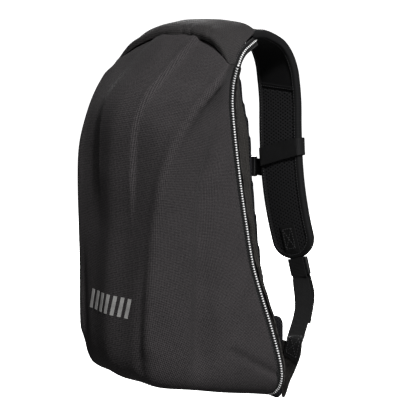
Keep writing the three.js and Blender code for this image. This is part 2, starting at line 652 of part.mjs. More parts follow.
function ladderLock() {
  const plate = roundedPlate(LOCK_WIDTH, LOCK_HEIGHT, LOCK_BAR / 2);
  for (const side of [-1, 1]) {
    const middle = side * (LOCK_HEIGHT / 4 - LOCK_BAR / 4);
    const slot = new THREE.Path();
    slot.moveTo(-LOCK_WIDTH / 2 + LOCK_BAR, middle - LOCK_SLOT / 2);
    slot.lineTo(LOCK_WIDTH / 2 - LOCK_BAR, middle - LOCK_SLOT / 2);
    slot.lineTo(LOCK_WIDTH / 2 - LOCK_BAR, middle + LOCK_SLOT / 2);
    slot.lineTo(-LOCK_WIDTH / 2 + LOCK_BAR, middle + LOCK_SLOT / 2);
    plate.holes.push(slot);
  }
  const geometry = new THREE.ExtrudeGeometry(plate, { depth: LOCK_THICKNESS, curveSegments: 2,
    bevelEnabled: false });
  geometry.translate(0, 0, -LOCK_THICKNESS / 2);
  const { wide, face, run, point } = lockFrame;
  geometry.applyMatrix4(new THREE.Matrix4().makeBasis(wide, run, face).setPosition(point));
  return geometry;
}

const lockPlace = (along, out) => lockFrame.point.clone()
  .addScaledVector(lockFrame.run, along)
  .addScaledVector(lockFrame.face, out);

const webLine = (() => {
  const lieY = TAB_MIDDLE_Y - TAB_THICKNESS / 2 - SEAM_GAP - WEB_THICKNESS / 2;
  const end = v3(TAB_ROOT_X + TAB_REACH - WEB_WIDTH / 2 - WEB_TURN_IN / 2, lieY,
    -TAB_ROOT_DROP + TAB_HEIGHT - TAB_TIP_HEIGHT);
  const lift = end.clone().add(v3(WEB_TURN_IN, 0, TAB_TIP_HEIGHT + WEB_LEAD));
  const top = lockPlace(-LOCK_HEIGHT / 2, -webOffset);
  const below = lockPlace(LOCK_HEIGHT / 2, -webOffset);
  const leave = lockPlace(LOCK_HEIGHT / 2 + WEB_LEAD, -webOffset);
  const bow = below.clone().lerp(lift, 0.5).add(v3(WEB_BOW_OUT, WEB_BOW_BACK, 0));
  return [top, ...smoothLine([below, leave, bow, lift], WEB_STEPS), end];
})();

function strip(line) {
  const section = rectangle(WEB_WIDTH, WEB_THICKNESS);
  return throughRings(framesAlong(line, X_AXIS).map((frame) => ringAt(frame, section)), section);
}

// The loose end of the webbing hangs behind the taut part
function tailLine() {
  const top = lockPlace(-LOCK_HEIGHT / 2, webOffset);
  const below = lockPlace(LOCK_HEIGHT / 2, webOffset);
  const leave = lockPlace(LOCK_HEIGHT / 2 + WEB_LEAD, webOffset);
  const frames = framesAlong(webLine, X_AXIS);
  const behind = (share, standOff) => {
    const frame = frames[Math.round(share * (frames.length - 1))];
    return frame.point.clone().addScaledVector(frame.face, standOff);
  };
  const middle = behind(TAIL_MIDDLE_SHARE, TAIL_STAND_OFF);
  const tip = behind(TAIL_SHARE, TAIL_STAND_OFF / 2);
  return [top, ...smoothLine([below, leave, middle, tip], WEB_STEPS)];
}

// The reflective patch follows the shell's front a seam gap off it
function reflectivePatch() {
  const shares = Array.from({ length: PATCH_STEPS + 1 }, (_, k) => k / PATCH_STEPS);
  const grid = shares.map((down) => shares.map((across) => (
    shellPoint(0.5 + (across - 0.5) * PATCH_SPAN, PATCH_TOP + (PATCH_FOOT - PATCH_TOP) * down))));
  const lifted = (rise) => grid.map((row, i) => row.map((point, j) => (
    point.clone().addScaledVector(gridNormal(grid, i, j), rise))));
  return wallBetween(lifted(PATCH_LIFT + PATCH_THICKNESS), lifted(PATCH_LIFT));
}

const materials = {
  shellCloth: new THREE.MeshStandardMaterial({ name: 'shell_cloth', color: '#3b3a3b', roughness: 0.85 }),
  softCloth: new THREE.MeshStandardMaterial({ name: 'soft_cloth', color: '#3a393a', roughness: 0.9 }),
  tape: new THREE.MeshStandardMaterial({ name: 'zip_tape', color: '#1e1e20', roughness: 0.9 }),
  piping: new THREE.MeshStandardMaterial({ name: 'reflective_piping', color: '#c9cccd', roughness: 0.5 }),
  mesh: new THREE.MeshStandardMaterial({ name: 'spacer_mesh', color: '#232325', roughness: 0.95 }),
  webbing: new THREE.MeshStandardMaterial({ name: 'webbing', color: '#262627', roughness: 0.8 }),
  plastic: new THREE.MeshStandardMaterial({ name: 'acetal', color: '#191919', roughness: 0.5 }),
  reflective: new THREE.MeshStandardMaterial({ name: 'reflective_film', color: '#a9abad', roughness: 0.4 }),
};

function piece(name, geometry, material) {
  const mesh = new THREE.Mesh(geometry, material);
  mesh.name = name;
  return mesh;
}

const backpack = new THREE.Group();
backpack.name = 'hard_shell_backpack';
backpack.position.z = HANG_DROP;
backpack.add(piece('shell', shell(), materials.shellCloth));
backpack.add(piece('yoke', yoke(), materials.softCloth));
backpack.add(piece('zip_tape', bandAlongEdge(rectangle(TAPE_WIDTH, TAPE_THICKNESS),
  SEAM_GAP + TAPE_WIDTH / 2, -TAPE_THICKNESS / 2), materials.tape));
backpack.add(piece('piping', bandAlongEdge(roundRod(PIPING_DIAMETER),
  TAPE_WIDTH / 2, PIPING_GAP + PIPING_DIAMETER / 2), materials.piping));

backpack.add(piece('gusset', gusset(), materials.softCloth));
backpack.add(piece('back_panel', backPanel(), materials.mesh));
backpack.add(piece('lumbar_pad', lumbarPad(), materials.mesh));
backpack.add(piece('sternum_buckle', sternumBuckle(), materials.plastic));
backpack.add(piece('reflective_patch', reflectivePatch(), materials.reflective));

// The other side's copy of a piece
function otherSide(geometry) {
  const flat = geometry.index ? geometry.toNonIndexed() : geometry.clone();
  const place = flat.attributes.position;
  for (let k = 0; k < place.count; k += 3) {
    const corners = [0, 2, 1].map((turn) => v3().fromBufferAttribute(place, k + turn));
    corners.forEach((corner, turn) => place.setXYZ(k + turn, -corner.x, corner.y, corner.z));
  }
  flat.computeVertexNormals();
  return flat;
}

const PAIRS = [
  ['shoulder_pad', shoulderPad(), materials.mesh],
  ['sternum_loop', sternumLoop(), materials.webbing],
  ['sternum_web', sternumWeb(), materials.webbing],
  ['sternum_slider', sternumSlider(), materials.plastic],
  ['ladder_lock', ladderLock(), materials.plastic],
  ['lower_web', strip(webLine), materials.webbing],
  ['web_tail', strip(tailLine()), materials.webbing],
  ['anchor_tab', anchorTab(), materials.softCloth],
];
for (const [name, geometry, material] of PAIRS) {
  backpack.add(piece(`${name}_right`, geometry, material));
  backpack.add(piece(`${name}_left`, otherSide(geometry), material));
}

export default backpack;
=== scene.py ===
import json
import math

import bpy
import numpy as np
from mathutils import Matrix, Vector
from mathutils.bvhtree import BVHTree

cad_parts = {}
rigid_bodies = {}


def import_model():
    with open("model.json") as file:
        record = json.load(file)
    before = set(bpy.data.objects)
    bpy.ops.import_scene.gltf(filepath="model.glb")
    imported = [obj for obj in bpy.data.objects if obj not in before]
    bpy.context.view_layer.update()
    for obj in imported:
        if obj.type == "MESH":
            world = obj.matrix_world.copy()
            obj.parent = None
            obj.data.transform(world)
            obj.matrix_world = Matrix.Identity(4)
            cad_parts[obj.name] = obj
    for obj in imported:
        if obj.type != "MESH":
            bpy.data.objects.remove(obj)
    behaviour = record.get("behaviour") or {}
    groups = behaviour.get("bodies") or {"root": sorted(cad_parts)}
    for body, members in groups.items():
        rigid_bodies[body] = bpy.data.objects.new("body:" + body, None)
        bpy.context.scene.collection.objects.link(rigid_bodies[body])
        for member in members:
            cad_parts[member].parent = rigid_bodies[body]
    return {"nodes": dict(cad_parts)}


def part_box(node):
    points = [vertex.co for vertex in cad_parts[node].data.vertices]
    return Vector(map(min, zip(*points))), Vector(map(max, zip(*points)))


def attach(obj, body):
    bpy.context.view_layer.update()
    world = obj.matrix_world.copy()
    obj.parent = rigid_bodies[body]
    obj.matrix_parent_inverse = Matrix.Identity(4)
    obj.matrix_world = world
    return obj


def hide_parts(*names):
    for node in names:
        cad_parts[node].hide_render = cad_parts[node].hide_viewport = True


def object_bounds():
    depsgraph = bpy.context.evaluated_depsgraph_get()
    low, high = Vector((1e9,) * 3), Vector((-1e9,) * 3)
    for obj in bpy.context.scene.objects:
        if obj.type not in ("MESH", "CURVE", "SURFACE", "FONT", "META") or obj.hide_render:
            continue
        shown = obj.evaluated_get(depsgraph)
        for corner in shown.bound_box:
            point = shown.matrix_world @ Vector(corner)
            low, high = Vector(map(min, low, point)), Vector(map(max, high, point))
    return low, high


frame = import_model()
cad_low, cad_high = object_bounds()

# Camera
# A portrait lens looks at the bag's front and its right flank from a little above the middle, as a
# catalogue picture does.
CAMERA_PLACE = Vector((0.9528, -0.9498, 0.0241))
CAMERA_AIM = Vector((-0.6950, 0.6950, -0.1840))
CAMERA_LENS = 84.94
CAMERA_SENSOR = 36

bpy.ops.object.camera_add(location=CAMERA_PLACE)
camera = bpy.context.object
camera.rotation_euler = CAMERA_AIM.to_track_quat("-Z", "Y").to_euler()
camera.data.lens = CAMERA_LENS
camera.data.sensor_width = CAMERA_SENSOR
bpy.context.scene.camera = camera
bpy.context.scene.view_settings.view_transform = "Standard"


# Studio floor and light
# A round table of white acrylic that curves up into a wall all round. It is lit from below and glows
# evenly, so that the bag stands against plain white, and throws no light back on it. One softbox is the
# key light, one fills in from low down and one lights the side towards the wearer.
TABLE_RADIUS = 2.6
TABLE_DROP = 0.15
SWEEP_RADIUS = 1.9
SWEEP_STEPS = 12
TABLE_COLOUR = "#ffffff"
TABLE_GLOW = 1.0
SOFTBOXES = [
    {"name": "key", "place": (1.35, -0.52, 1.20), "aim": (0, -0.05, -0.20), "size": 0.30, "watts": 52},
    {"name": "low", "place": (1.50, -0.70, -0.40), "aim": (0, -0.05, -0.30), "size": 0.5, "watts": 5},
    {"name": "back", "place": (-1.25, 1.20, 0.50), "aim": (0, 0.00, -0.25), "size": 0.6, "watts": 48},
]
WORLD_STRENGTH = 0.12


def linear(hex_colour):
    """An sRGB hex colour as linear red, green, blue and alpha."""
    parts = [int(hex_colour[k:k + 2], 16) / 255 for k in (1, 3, 5)]
    return [p / 12.92 if p <= 0.04045 else ((p + 0.055) / 1.055) ** 2.4 for p in parts] + [1.0]


def new_material(name, **sockets):
    """A material's node tree and shader. The sockets that are the same all over are set on the shader."""
    material = bpy.data.materials.new(name)
    material.use_nodes = True
    tree = material.node_tree
    shader = tree.nodes["Principled BSDF"]
    for socket, value in sockets.items():
        shader.inputs[socket.replace("_", " ")].default_value = value
    return material, tree, shader


def dress(piece, material):
    """Gives a piece its only material."""
    piece.data.materials.clear()
    piece.data.materials.append(material)


def only(piece):
    """Deselects everything and makes one piece the selected and active one."""
    bpy.ops.object.select_all(action="DESELECT")
    piece.select_set(True)
    bpy.context.view_layer.objects.active = piece
    return piece


bpy.ops.mesh.primitive_circle_add(vertices=96, radius=TABLE_RADIUS, fill_type="NGON",
                                  location=(0, 0, cad_low.z - TABLE_DROP))
floor = bpy.context.object
floor.name = "studio_floor"
bpy.ops.object.mode_set(mode="EDIT")
bpy.ops.mesh.select_all(action="SELECT")
bpy.ops.mesh.select_mode(type="EDGE")
radius, height = TABLE_RADIUS, 0.0
for step in range(1, SWEEP_STEPS + 1):
    angle = math.pi / 2 * step / SWEEP_STEPS
    new_radius = TABLE_RADIUS + SWEEP_RADIUS * math.sin(angle)
    new_height = SWEEP_RADIUS * (1 - math.cos(angle))
    bpy.ops.mesh.extrude_edges_move(TRANSFORM_OT_translate={"value": (0, 0, new_height - height)})
    bpy.ops.transform.resize(value=(new_radius / radius, new_radius / radius, 1))
    radius, height = new_radius, new_height
bpy.ops.object.mode_set(mode="OBJECT")
bpy.ops.object.shade_smooth()
# White acrylic, lit from below so that it glows
acrylic, *_ = new_material("lit_acrylic", Base_Color=linear(TABLE_COLOUR), Roughness=0.9,
                           Emission_Color=linear(TABLE_COLOUR), Emission_Strength=TABLE_GLOW)
dress(floor, acrylic)
floor.visible_diffuse = False
floor.visible_glossy = False

for softbox in SOFTBOXES:
    bpy.ops.object.light_add(type="AREA", location=softbox["place"])
    lamp = bpy.context.object
    lamp.name = "softbox_" + softbox["name"]
    aim = Vector(softbox["aim"]) - Vector(softbox["place"])
    lamp.rotation_euler = aim.to_track_quat("-Z", "Y").to_euler()
    lamp.data.size = softbox["size"]
    lamp.data.energy = softbox["watts"]
world = bpy.data.worlds.new("studio_air")
world.use_nodes = True
world.node_tree.nodes["Background"].inputs["Strength"].default_value = WORLD_STRENGTH
world.node_tree.nodes["Background"].inputs["Color"].default_value = linear("#ffffff")
bpy.context.scene.world = world


# Moulded shell
# The hard front: an EVA foam sheet pressed over a mould with a woven polyester face bonded to it, so its
# ridges, its centre panel and its flank channels are soft edged. It is trimmed and sewn to the zip tape.
MM = 0.001
SHELL_WALL = 3 * MM
SHELL_SMOOTHING = 3
SEAM_TUCK = 2.2 * MM
SEAM_TUCK_WIDTH = 5 * MM
PANEL_RISE = 5.4 * MM
PANEL_LEFT_SLOPE = 22 * MM
PANEL_RIGHT_SLOPE = 6 * MM
PANEL_LIP = 1.8 * MM
PANEL_LIP_WIDTH = 3.2 * MM
RIDGE_RISE = 4.4 * MM
RIDGE_WIDTH = 9 * MM
GROOVE_DEPTH = 2.8 * MM
GROOVE_WIDTH = 8 * MM
GROOVE_INSIDE_RIDGE = 11 * MM
GROOVE_REACH = 40 * MM
CHANNEL_DEPTH = 9.0 * MM
DENT_DEPTH = 3.0 * MM
DENT_WIDTH = 5 * MM
CLOTH_COLOURS = ("#1b1a1b", "#444142")
YARN_PITCH = 2.0 * MM
YARN_DEPTH = 0.25 * MM
# The heights, the depths in front and the distances across over which each form fades in or out, in metres
PANEL_SHOWN = (-0.235, -0.150)
PANEL_IN_FRONT = (0.045, 0.060)
LIP_SHOWN = (-0.095, -0.060)
GROOVE_BELOW = (0.22, 0.32)
GROOVE_ABOVE = (0.40, 0.43)
CHANNEL_BELOW = (0.085, 0.170)
CHANNEL_ABOVE = (0.380, 0.440)
FLANK_FROM = (0.070, 0.082)
SEAM_ENDS = (0.085, 0.105)
SEAM_SLIDES = (0.035, 0.055)
# The same as shares of the ridge's length and of the channel's width
RIDGE_ENDS = (0, 0.06, 0.93, 1)
CHANNEL_WALLS = (-0.10, 0.28, 0.35, 1.25)

# The centre panel's two edges: how far across they lie at each height, in millimetres
PANEL_EDGES = [
    {"height": 20, "left": -22, "right": 39},
    {"height": -30, "left": -36, "right": 34},
    {"height": -64, "left": -37, "right": 31},
    {"height": -87, "left": -32, "right": 30},
    {"height": -110, "left": -30, "right": 29},
    {"height": -146, "left": -27, "right": 31},
    {"height": -188, "left": -23, "right": 33},
    {"height": -240, "left": -20, "right": 35},
]
# The ridge between front and flank, in millimetres
RIDGE_LINE = [
    {"x": 106, "y": -72, "z": -30},
    {"x": 106, "y": -99, "z": -53},
    {"x": 99, "y": -122, "z": -77},
    {"x": 93, "y": -139, "z": -103},
    {"x": 87, "y": -152, "z": -129},
    {"x": 80, "y": -160, "z": -165},
    {"x": 75, "y": -166, "z": -227},
    {"x": 70, "y": -169, "z": -273},
    {"x": 67, "y": -172, "z": -321},
    {"x": 64, "y": -171, "z": -396},
]
# The channel down the flank: the depths of its front and back edges at each height, in millimetres
CHANNEL_EDGES = [
    {"height": -100, "front": -86, "back": -62},
    {"height": -135, "front": -96, "back": -67},
    {"height": -171, "front": -105, "back": -76},
    {"height": -215, "front": -110, "back": -82},
    {"height": -260, "front": -113, "back": -84},
    {"height": -303, "front": -116, "back": -86},
    {"height": -353, "front": -122, "back": -93},
    {"height": -400, "front": -126, "back": -100},
]
DENT_LINE = [{"x": 122, "y": -80, "z": -384}, {"x": 159, "y": -35, "z": -417}]
# The seam between shell and yoke, from the left rim over the top to the right one, in millimetres
SEAM_LINE = [
    {"x": -109, "y": -73, "z": -22},
    {"x": -95, "y": -72, "z": -15},
    {"x": -74, "y": -69, "z": -4},
    {"x": -56, "y": -67, "z": 3},
    {"x": -38, "y": -65, "z": 8},
    {"x": -19, "y": -64, "z": 10.5},
    {"x": 0, "y": -63, "z": 11},
    {"x": 19, "y": -63, "z": 10.8},
    {"x": 38, "y": -63, "z": 9},
    {"x": 56, "y": -65, "z": 5.5},
    {"x": 74, "y": -67, "z": -0.5},
    {"x": 95, "y": -71, "z": -13},
    {"x": 109, "y": -73, "z": -22},
]
# The edge at which shell and yoke are parted in the frame, in millimetres
CUT_LINE = [
    {"x": -109, "z": -21.6},
    {"x": -86, "z": -12.6},
    {"x": -56, "z": -0.4},
    {"x": -28, "z": 9.7},
    {"x": 0, "z": 10.3},
    {"x": 28, "z": 9.7},
    {"x": 56, "z": -0.4},
    {"x": 86, "z": -12.6},
    {"x": 109, "z": -21.6},
]
SLIDE_REACH = 20 * MM


def merged_copy(node, name):
    """A copy of a frame node's mesh with its loose triangles merged back into quads."""
    source = frame["nodes"][node]
    piece = bpy.data.objects.new(name, source.data.copy())
    bpy.context.scene.collection.objects.link(piece)
    only(piece)
    bpy.ops.object.mode_set(mode="EDIT")
    bpy.ops.mesh.select_all(action="SELECT")
    bpy.ops.mesh.remove_doubles(threshold=0.01 * MM)
    bpy.ops.mesh.tris_convert_to_quads(face_threshold=math.radians(70), shape_threshold=math.radians(179))
    bpy.ops.mesh.select_all(action="DESELECT")
    bpy.ops.object.mode_set(mode="OBJECT")
    return piece


def keep_skin(piece, first_face, bend):
    """Keeps the faces that join the first face with no sharper bend than the given one, in degrees."""
    start = min(piece.data.polygons, key=first_face)
    start.select = True
    piece.data.polygons.active = start.index
    bpy.ops.object.mode_set(mode="EDIT")
    bpy.ops.mesh.select_mode(type="FACE")
    bpy.ops.mesh.faces_select_linked_flat(sharpness=math.radians(bend))
    bpy.ops.mesh.select_all(action="INVERT")
    bpy.ops.mesh.delete(type="FACE")
    bpy.ops.mesh.select_all(action="SELECT")
    bpy.ops.mesh.delete_loose()
    bpy.ops.object.mode_set(mode="OBJECT")


def lay_out(piece):
    """Unwraps the cloth to a UV map in metres, with V up the piece."""
    only(piece)
    bpy.ops.object.mode_set(mode="EDIT")
    bpy.ops.mesh.select_all(action="SELECT")
    bpy.ops.uv.unwrap(method="ANGLE_BASED", margin=0)
    bpy.ops.object.mode_set(mode="OBJECT")
    mesh = piece.data
    flat = np.zeros(len(mesh.loops) * 2)
    mesh.uv_layers.active.data.foreach_get("uv", flat)
    flat = flat.reshape(-1, 2)
    corners = np.array([mesh.vertices[loop.vertex_index].co for loop in mesh.loops])
    fit, *_ = np.linalg.lstsq(np.column_stack([flat, np.ones(len(flat))]), corners[:, 2], rcond=None)
    turn = math.atan2(fit[0], fit[1])
    across, up = flat[:, 0].copy(), flat[:, 1].copy()
    flat[:, 0] = across * math.cos(turn) - up * math.sin(turn)
    flat[:, 1] = across * math.sin(turn) + up * math.cos(turn)
    covered = 0.0
    for face in mesh.polygons:
        u, v = flat[list(face.loop_indices)].T
        covered += abs(np.dot(u, np.roll(v, 1)) - np.dot(v, np.roll(u, 1))) / 2
    flat *= math.sqrt(sum(face.area for face in mesh.polygons) / covered)
    mesh.uv_layers.active.data.foreach_set("uv", flat.ravel())


def finish_with(piece, kind, **settings):
    """Adds a modifier with its settings and applies it."""
    only(piece)
    modifier = piece.modifiers.new(kind.lower(), kind)
    for name, value in settings.items():
        setattr(modifier, name, value)
    bpy.ops.object.modifier_apply(modifier=modifier.name)


def places_of(piece):
    co = np.zeros(len(piece.data.vertices) * 3)
    piece.data.vertices.foreach_get("co", co)
    return co.reshape(-1, 3)


def place_vertices(piece, places):
    piece.data.vertices.foreach_set("co", np.asarray(places, dtype=np.float32).ravel())
    piece.data.update()


def sculpt(piece, height):
    """Moves each vertex along its normal by height, a function of the vertices' places."""
    places = places_of(piece)
    normals = np.zeros(len(places) * 3)
    piece.data.vertex_normals.foreach_get("vector", normals)
    place_vertices(piece, places + normals.reshape(-1, 3) * height(places)[:, None])


def slide_to_seam(piece):
    """Slides the surface near the cut edge along itself, until that edge lies in the sewn seam's arch."""
    places = places_of(piece)
    normals = np.zeros(len(places) * 3)
    piece.data.vertex_normals.foreach_get("vector", normals)
    normals = normals.reshape(-1, 3)
    cut = read_edge(CUT_LINE, "x", "z", places[:, 0])
    shift = read_edge(SEAM_LINE, "x", "z", places[:, 0]) - cut
    shift *= bump(places[:, 2] - cut, SLIDE_REACH) * smooth_step(-places[:, 1], *SEAM_SLIDES)
    upward = np.array([0, 0, 1.0]) - normals * normals[:, 2:]
    steepness = np.maximum(np.linalg.norm(upward, axis=1), 0.3)
    place_vertices(piece, places + upward * (shift / steepness ** 2)[:, None])


def smooth_step(value, low, high):
    share = np.clip((value - low) / (high - low), 0, 1)
    return share * share * (3 - 2 * share)


def read_edge(rows, key, column, at):
    """A table's column in metres at each of the given keys."""
    ordered = sorted(rows, key=lambda row: row[key])
    return np.interp(at, [row[key] * MM for row in ordered], [row[column] * MM for row in ordered])


def distance_to(line, places):
    """How far each place lies from a line of points, and the share of the line's length at its foot."""
    points = np.array([[row["x"], row["y"], row["z"]] for row in line]) * MM
    lengths = np.linalg.norm(np.diff(points, axis=0), axis=1)
    starts = np.concatenate([[0], np.cumsum(lengths)])
    best = np.full(len(places), np.inf)
    share = np.zeros(len(places))
    for k, (a, b) in enumerate(zip(points[:-1], points[1:])):
        t = np.clip((places - a) @ (b - a) / lengths[k] ** 2, 0, 1)
        far = np.linalg.norm(places - (a + t[:, None] * (b - a)), axis=1)
        nearer = far < best
        best = np.where(nearer, far, best)
        share = np.where(nearer, (starts[k] + t * lengths[k]) / starts[-1], share)
    return best, share


def bump(distance, width):
    return np.exp(-(distance / width) ** 2)


def rise_and_fall(value, low, high, high_end, low_end):
    """Nothing outside two steps and all of it between them."""
    return smooth_step(value, low, high) * (1 - smooth_step(value, high_end, low_end))


def shell_relief(places):
    """The relief that the mould leaves in the shell."""
    x, y, z = places.T
    either_side = np.column_stack([np.abs(x), y, z])
    left = x - read_edge(PANEL_EDGES, "height", "left", z)
    right = read_edge(PANEL_EDGES, "height", "right", z) - x
    panel = np.clip(1 + left / PANEL_LEFT_SLOPE, 0, 1) * smooth_step(right, -PANEL_RIGHT_SLOPE, 0)
    in_front = smooth_step(-y, *PANEL_IN_FRONT)
    relief = PANEL_RISE * panel * smooth_step(z, *PANEL_SHOWN) * in_front
    relief += PANEL_LIP * bump(right, PANEL_LIP_WIDTH) * smooth_step(z, *LIP_SHOWN) * in_front
    far, share = distance_to(RIDGE_LINE, either_side)
    relief += RIDGE_RISE * bump(far, RIDGE_WIDTH) * rise_and_fall(share, *RIDGE_ENDS)
    ridge_x = [row["x"] * MM for row in RIDGE_LINE]
    beside = np.abs(x) - np.interp(share, np.linspace(0, 1, len(ridge_x)), ridge_x)
    groove = bump(beside + GROOVE_INSIDE_RIDGE, GROOVE_WIDTH) * (far < GROOVE_REACH)
    relief -= GROOVE_DEPTH * groove * rise_and_fall(-z, *GROOVE_BELOW, *GROOVE_ABOVE)
    front = read_edge(CHANNEL_EDGES, "height", "front", z)
    back = read_edge(CHANNEL_EDGES, "height", "back", z)
    channel = rise_and_fall((y - front) / (back - front), *CHANNEL_WALLS)
    channel *= rise_and_fall(-z, *CHANNEL_BELOW, *CHANNEL_ABOVE)
    relief -= CHANNEL_DEPTH * channel * smooth_step(np.abs(x), *FLANK_FROM)
    far, _ = distance_to(DENT_LINE, either_side)
    relief -= DENT_DEPTH * bump(far, DENT_WIDTH)
    far, _ = distance_to(SEAM_LINE, places)
    relief -= SEAM_TUCK * bump(far, SEAM_TUCK_WIDTH) * (1 - smooth_step(np.abs(x), *SEAM_ENDS))
    return relief


shell = merged_copy("shell", "moulded_shell")
keep_skin(shell, lambda face: face.center.y, 50)
lay_out(shell)
finish_with(shell, "SUBSURF", levels=SHELL_SMOOTHING, render_levels=SHELL_SMOOTHING)
slide_to_seam(shell)
sculpt(shell, shell_relief)
finish_with(shell, "SMOOTH", factor=0.5, iterations=2)
finish_with(shell, "SOLIDIFY", thickness=SHELL_WALL, offset=-1)
bpy.ops.object.shade_smooth()


def add_node(tree, kind, settings=None, **inputs):
    """Adds one node. Each input is named, or numbered as i0, and is given a value or another's output."""
    made = tree.nodes.new(kind)
    for name, value in (settings or {}).items():
        setattr(made, name, value)
    for name, value in inputs.items():
        numbered = name[0] == "i" and name[1:].isdigit()
        socket = made.inputs[int(name[1:])] if numbered else made.inputs[name.replace("_", " ")]
        if isinstance(value, bpy.types.NodeSocket):
            tree.links.new(value, socket)
        else:
            socket.default_value = value
    return made


def reckon(tree, operation, *values):
    """The output of one maths node."""
    inputs = {f"i{k}": value for k, value in enumerate(values)}
    return add_node(tree, "ShaderNodeMath", {"operation": operation}, **inputs).outputs[0]


def mix(tree, share, first, second):
    """The output of a node that mixes two values."""
    return add_node(tree, "ShaderNodeMix", None, i0=share, i2=first, i3=second).outputs[0]


def remap(tree, value, low, high, new_low=0.0, new_high=1.0, step="LINEAR"):
    """The output of a node that maps one range of values to another."""
    return add_node(tree, "ShaderNodeMapRange", {"interpolation_type": step}, Value=value, From_Min=low,
                    From_Max=high, To_Min=new_low, To_Max=new_high).outputs[0]


def noise(tree, place, scale, detail):
    """The output of a noise texture."""
    return add_node(tree, "ShaderNodeTexNoise", None, Vector=place, Scale=scale, Detail=detail).outputs["Fac"]


# A wave texture of bands repeats every 0.314 of its own units
WAVE_PERIOD = math.pi / 10


def bands(tree, place, direction, pitch, **more):
    """The output of a wave texture whose bands lie at a pitch."""
    return add_node(tree, "ShaderNodeTexWave", {"bands_direction": direction}, Vector=place,
                    Scale=WAVE_PERIOD / pitch, **more).outputs["Fac"]


def colour_by(tree, shader, share, colours):
    """Colours the shader between a dark and a light colour by a share."""
    colour = add_node(tree, "ShaderNodeMix", {"data_type": "RGBA"}, i0=share, i6=linear(colours[0]),
                      i7=linear(colours[1]))
    tree.links.new(colour.outputs[2], shader.inputs["Base Color"])


def emboss(tree, shader, height, depth, strength):
    """Gives the shader a fine relief, of a depth in metres."""
    relief = add_node(tree, "ShaderNodeBump", None, Height=height, Distance=depth, Strength=strength)
    tree.links.new(relief.outputs["Normal"], shader.inputs["Normal"])


def woven_cloth(name, colours, pitch):
    """Plain woven polyester: yarns over and under each other, a fine heather and a soft mottle. The yarn
    is about 0.6 mm in the real cloth, and is drawn coarser so that it shows."""
    material, tree, shader = new_material(name, Roughness=0.95, Sheen_Weight=0.03, Sheen_Roughness=0.45,
                                          Specular_IOR_Level=0.08)
    place = add_node(tree, "ShaderNodeUVMap").outputs["UV"]
    over = add_node(tree, "ShaderNodeTexChecker", None, Vector=place, Scale=1 / pitch).outputs["Fac"]
    yarns = mix(tree, over, bands(tree, place, "X", pitch), bands(tree, place, "Y", pitch))
    heather = reckon(tree, "MULTIPLY", noise(tree, place, 0.9 / pitch, 2.0), 0.55)
    light = reckon(tree, "MULTIPLY_ADD", yarns, 0.45, heather)
    shade = mix(tree, 0.14, light, noise(tree, place, 26.0, 3.0))
    colour_by(tree, shader, remap(tree, shade, 0.34, 0.66), colours)
    emboss(tree, shader, yarns, YARN_DEPTH, 0.8)
    return material


shell_cloth = woven_cloth("bonded_polyester", CLOTH_COLOURS, YARN_PITCH)
dress(shell, shell_cloth)
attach(shell, "root")
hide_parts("shell")


# Yoke
# The soft cap over the top of the bag: the same polyester over thin foam, puffed over its seam with the
# shell, rolled in at the seam and gathered a little in the middle, and sewn down to the back.
YOKE_WALL = 3 * MM
YOKE_PUFF = 2.6 * MM
YOKE_ROLL = 3.0 * MM
YOKE_SETTLE = 1.6 * MM
YOKE_ROLL_WIDTH = 3.5 * MM
YOKE_COLOURS = ("#191819", "#3d3b3b")
YOKE_SHOULDER_DROP = 3.0 * MM
GATHER_WIDTH = 2.6 * MM
# Where each gather leaves the seam, how far it leans for each millimetre back, its length and its depth
GATHERS = [
    {"across": -62, "lean": 0.55, "length": 26, "depth": 0.9},
    {"across": -20, "lean": 0.35, "length": 18, "depth": 0.6},
    {"across": 14, "lean": -0.30, "length": 22, "depth": 1.0},
    {"across": 29, "lean": -0.45, "length": 30, "depth": 1.2},
    {"across": 47, "lean": -0.20, "length": 20, "depth": 0.9},
    {"across": 66, "lean": -0.60, "length": 34, "depth": 1.1},
    {"across": 84, "lean": -0.35, "length": 22, "depth": 0.9},
]


def yoke_relief(places):
    """The yoke's puff and roll at its seam, with the gathers that run back from it."""
    far, _ = distance_to(SEAM_LINE, places)
    behind = smooth_step(places[:, 2] - read_edge(SEAM_LINE, "x", "z", places[:, 0]), -2 * MM, 4 * MM)
    relief = YOKE_PUFF * smooth_step(far, 0, 9 * MM) * (1 - 0.75 * smooth_step(far, 10 * MM, 48 * MM))
    relief = relief * behind - YOKE_SETTLE * smooth_step(np.abs(places[:, 0]), 0.080, 0.105)
    relief -= YOKE_ROLL * bump(far, YOKE_ROLL_WIDTH)
    aside = smooth_step(np.abs(places[:, 0]), 0.030, 0.075)
    relief -= YOKE_SHOULDER_DROP * aside * behind * smooth_step(far, 4 * MM, 16 * MM)
    for gather in GATHERS:
        line = gather["across"] * MM + gather["lean"] * far
        length = gather["length"] * MM
        fade = smooth_step(far, 0, 3 * MM) * (1 - smooth_step(far, 0.4 * length, length))
        relief -= gather["depth"] * MM * bump(places[:, 0] - line, GATHER_WIDTH) * fade
    return relief


yoke = merged_copy("yoke", "yoke_cap")
keep_skin(yoke, lambda face: -face.center.z, 65)
lay_out(yoke)
finish_with(yoke, "SUBSURF", levels=3, render_levels=3)
slide_to_seam(yoke)
sculpt(yoke, yoke_relief)
finish_with(yoke, "SMOOTH", factor=0.5, iterations=2)
finish_with(yoke, "SOLIDIFY", thickness=YOKE_WALL, offset=-1)
bpy.ops.object.shade_smooth()
yoke_cloth = woven_cloth("yoke_polyester", YOKE_COLOURS, YARN_PITCH)
dress(yoke, yoke_cloth)
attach(yoke, "root")
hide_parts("yoke")


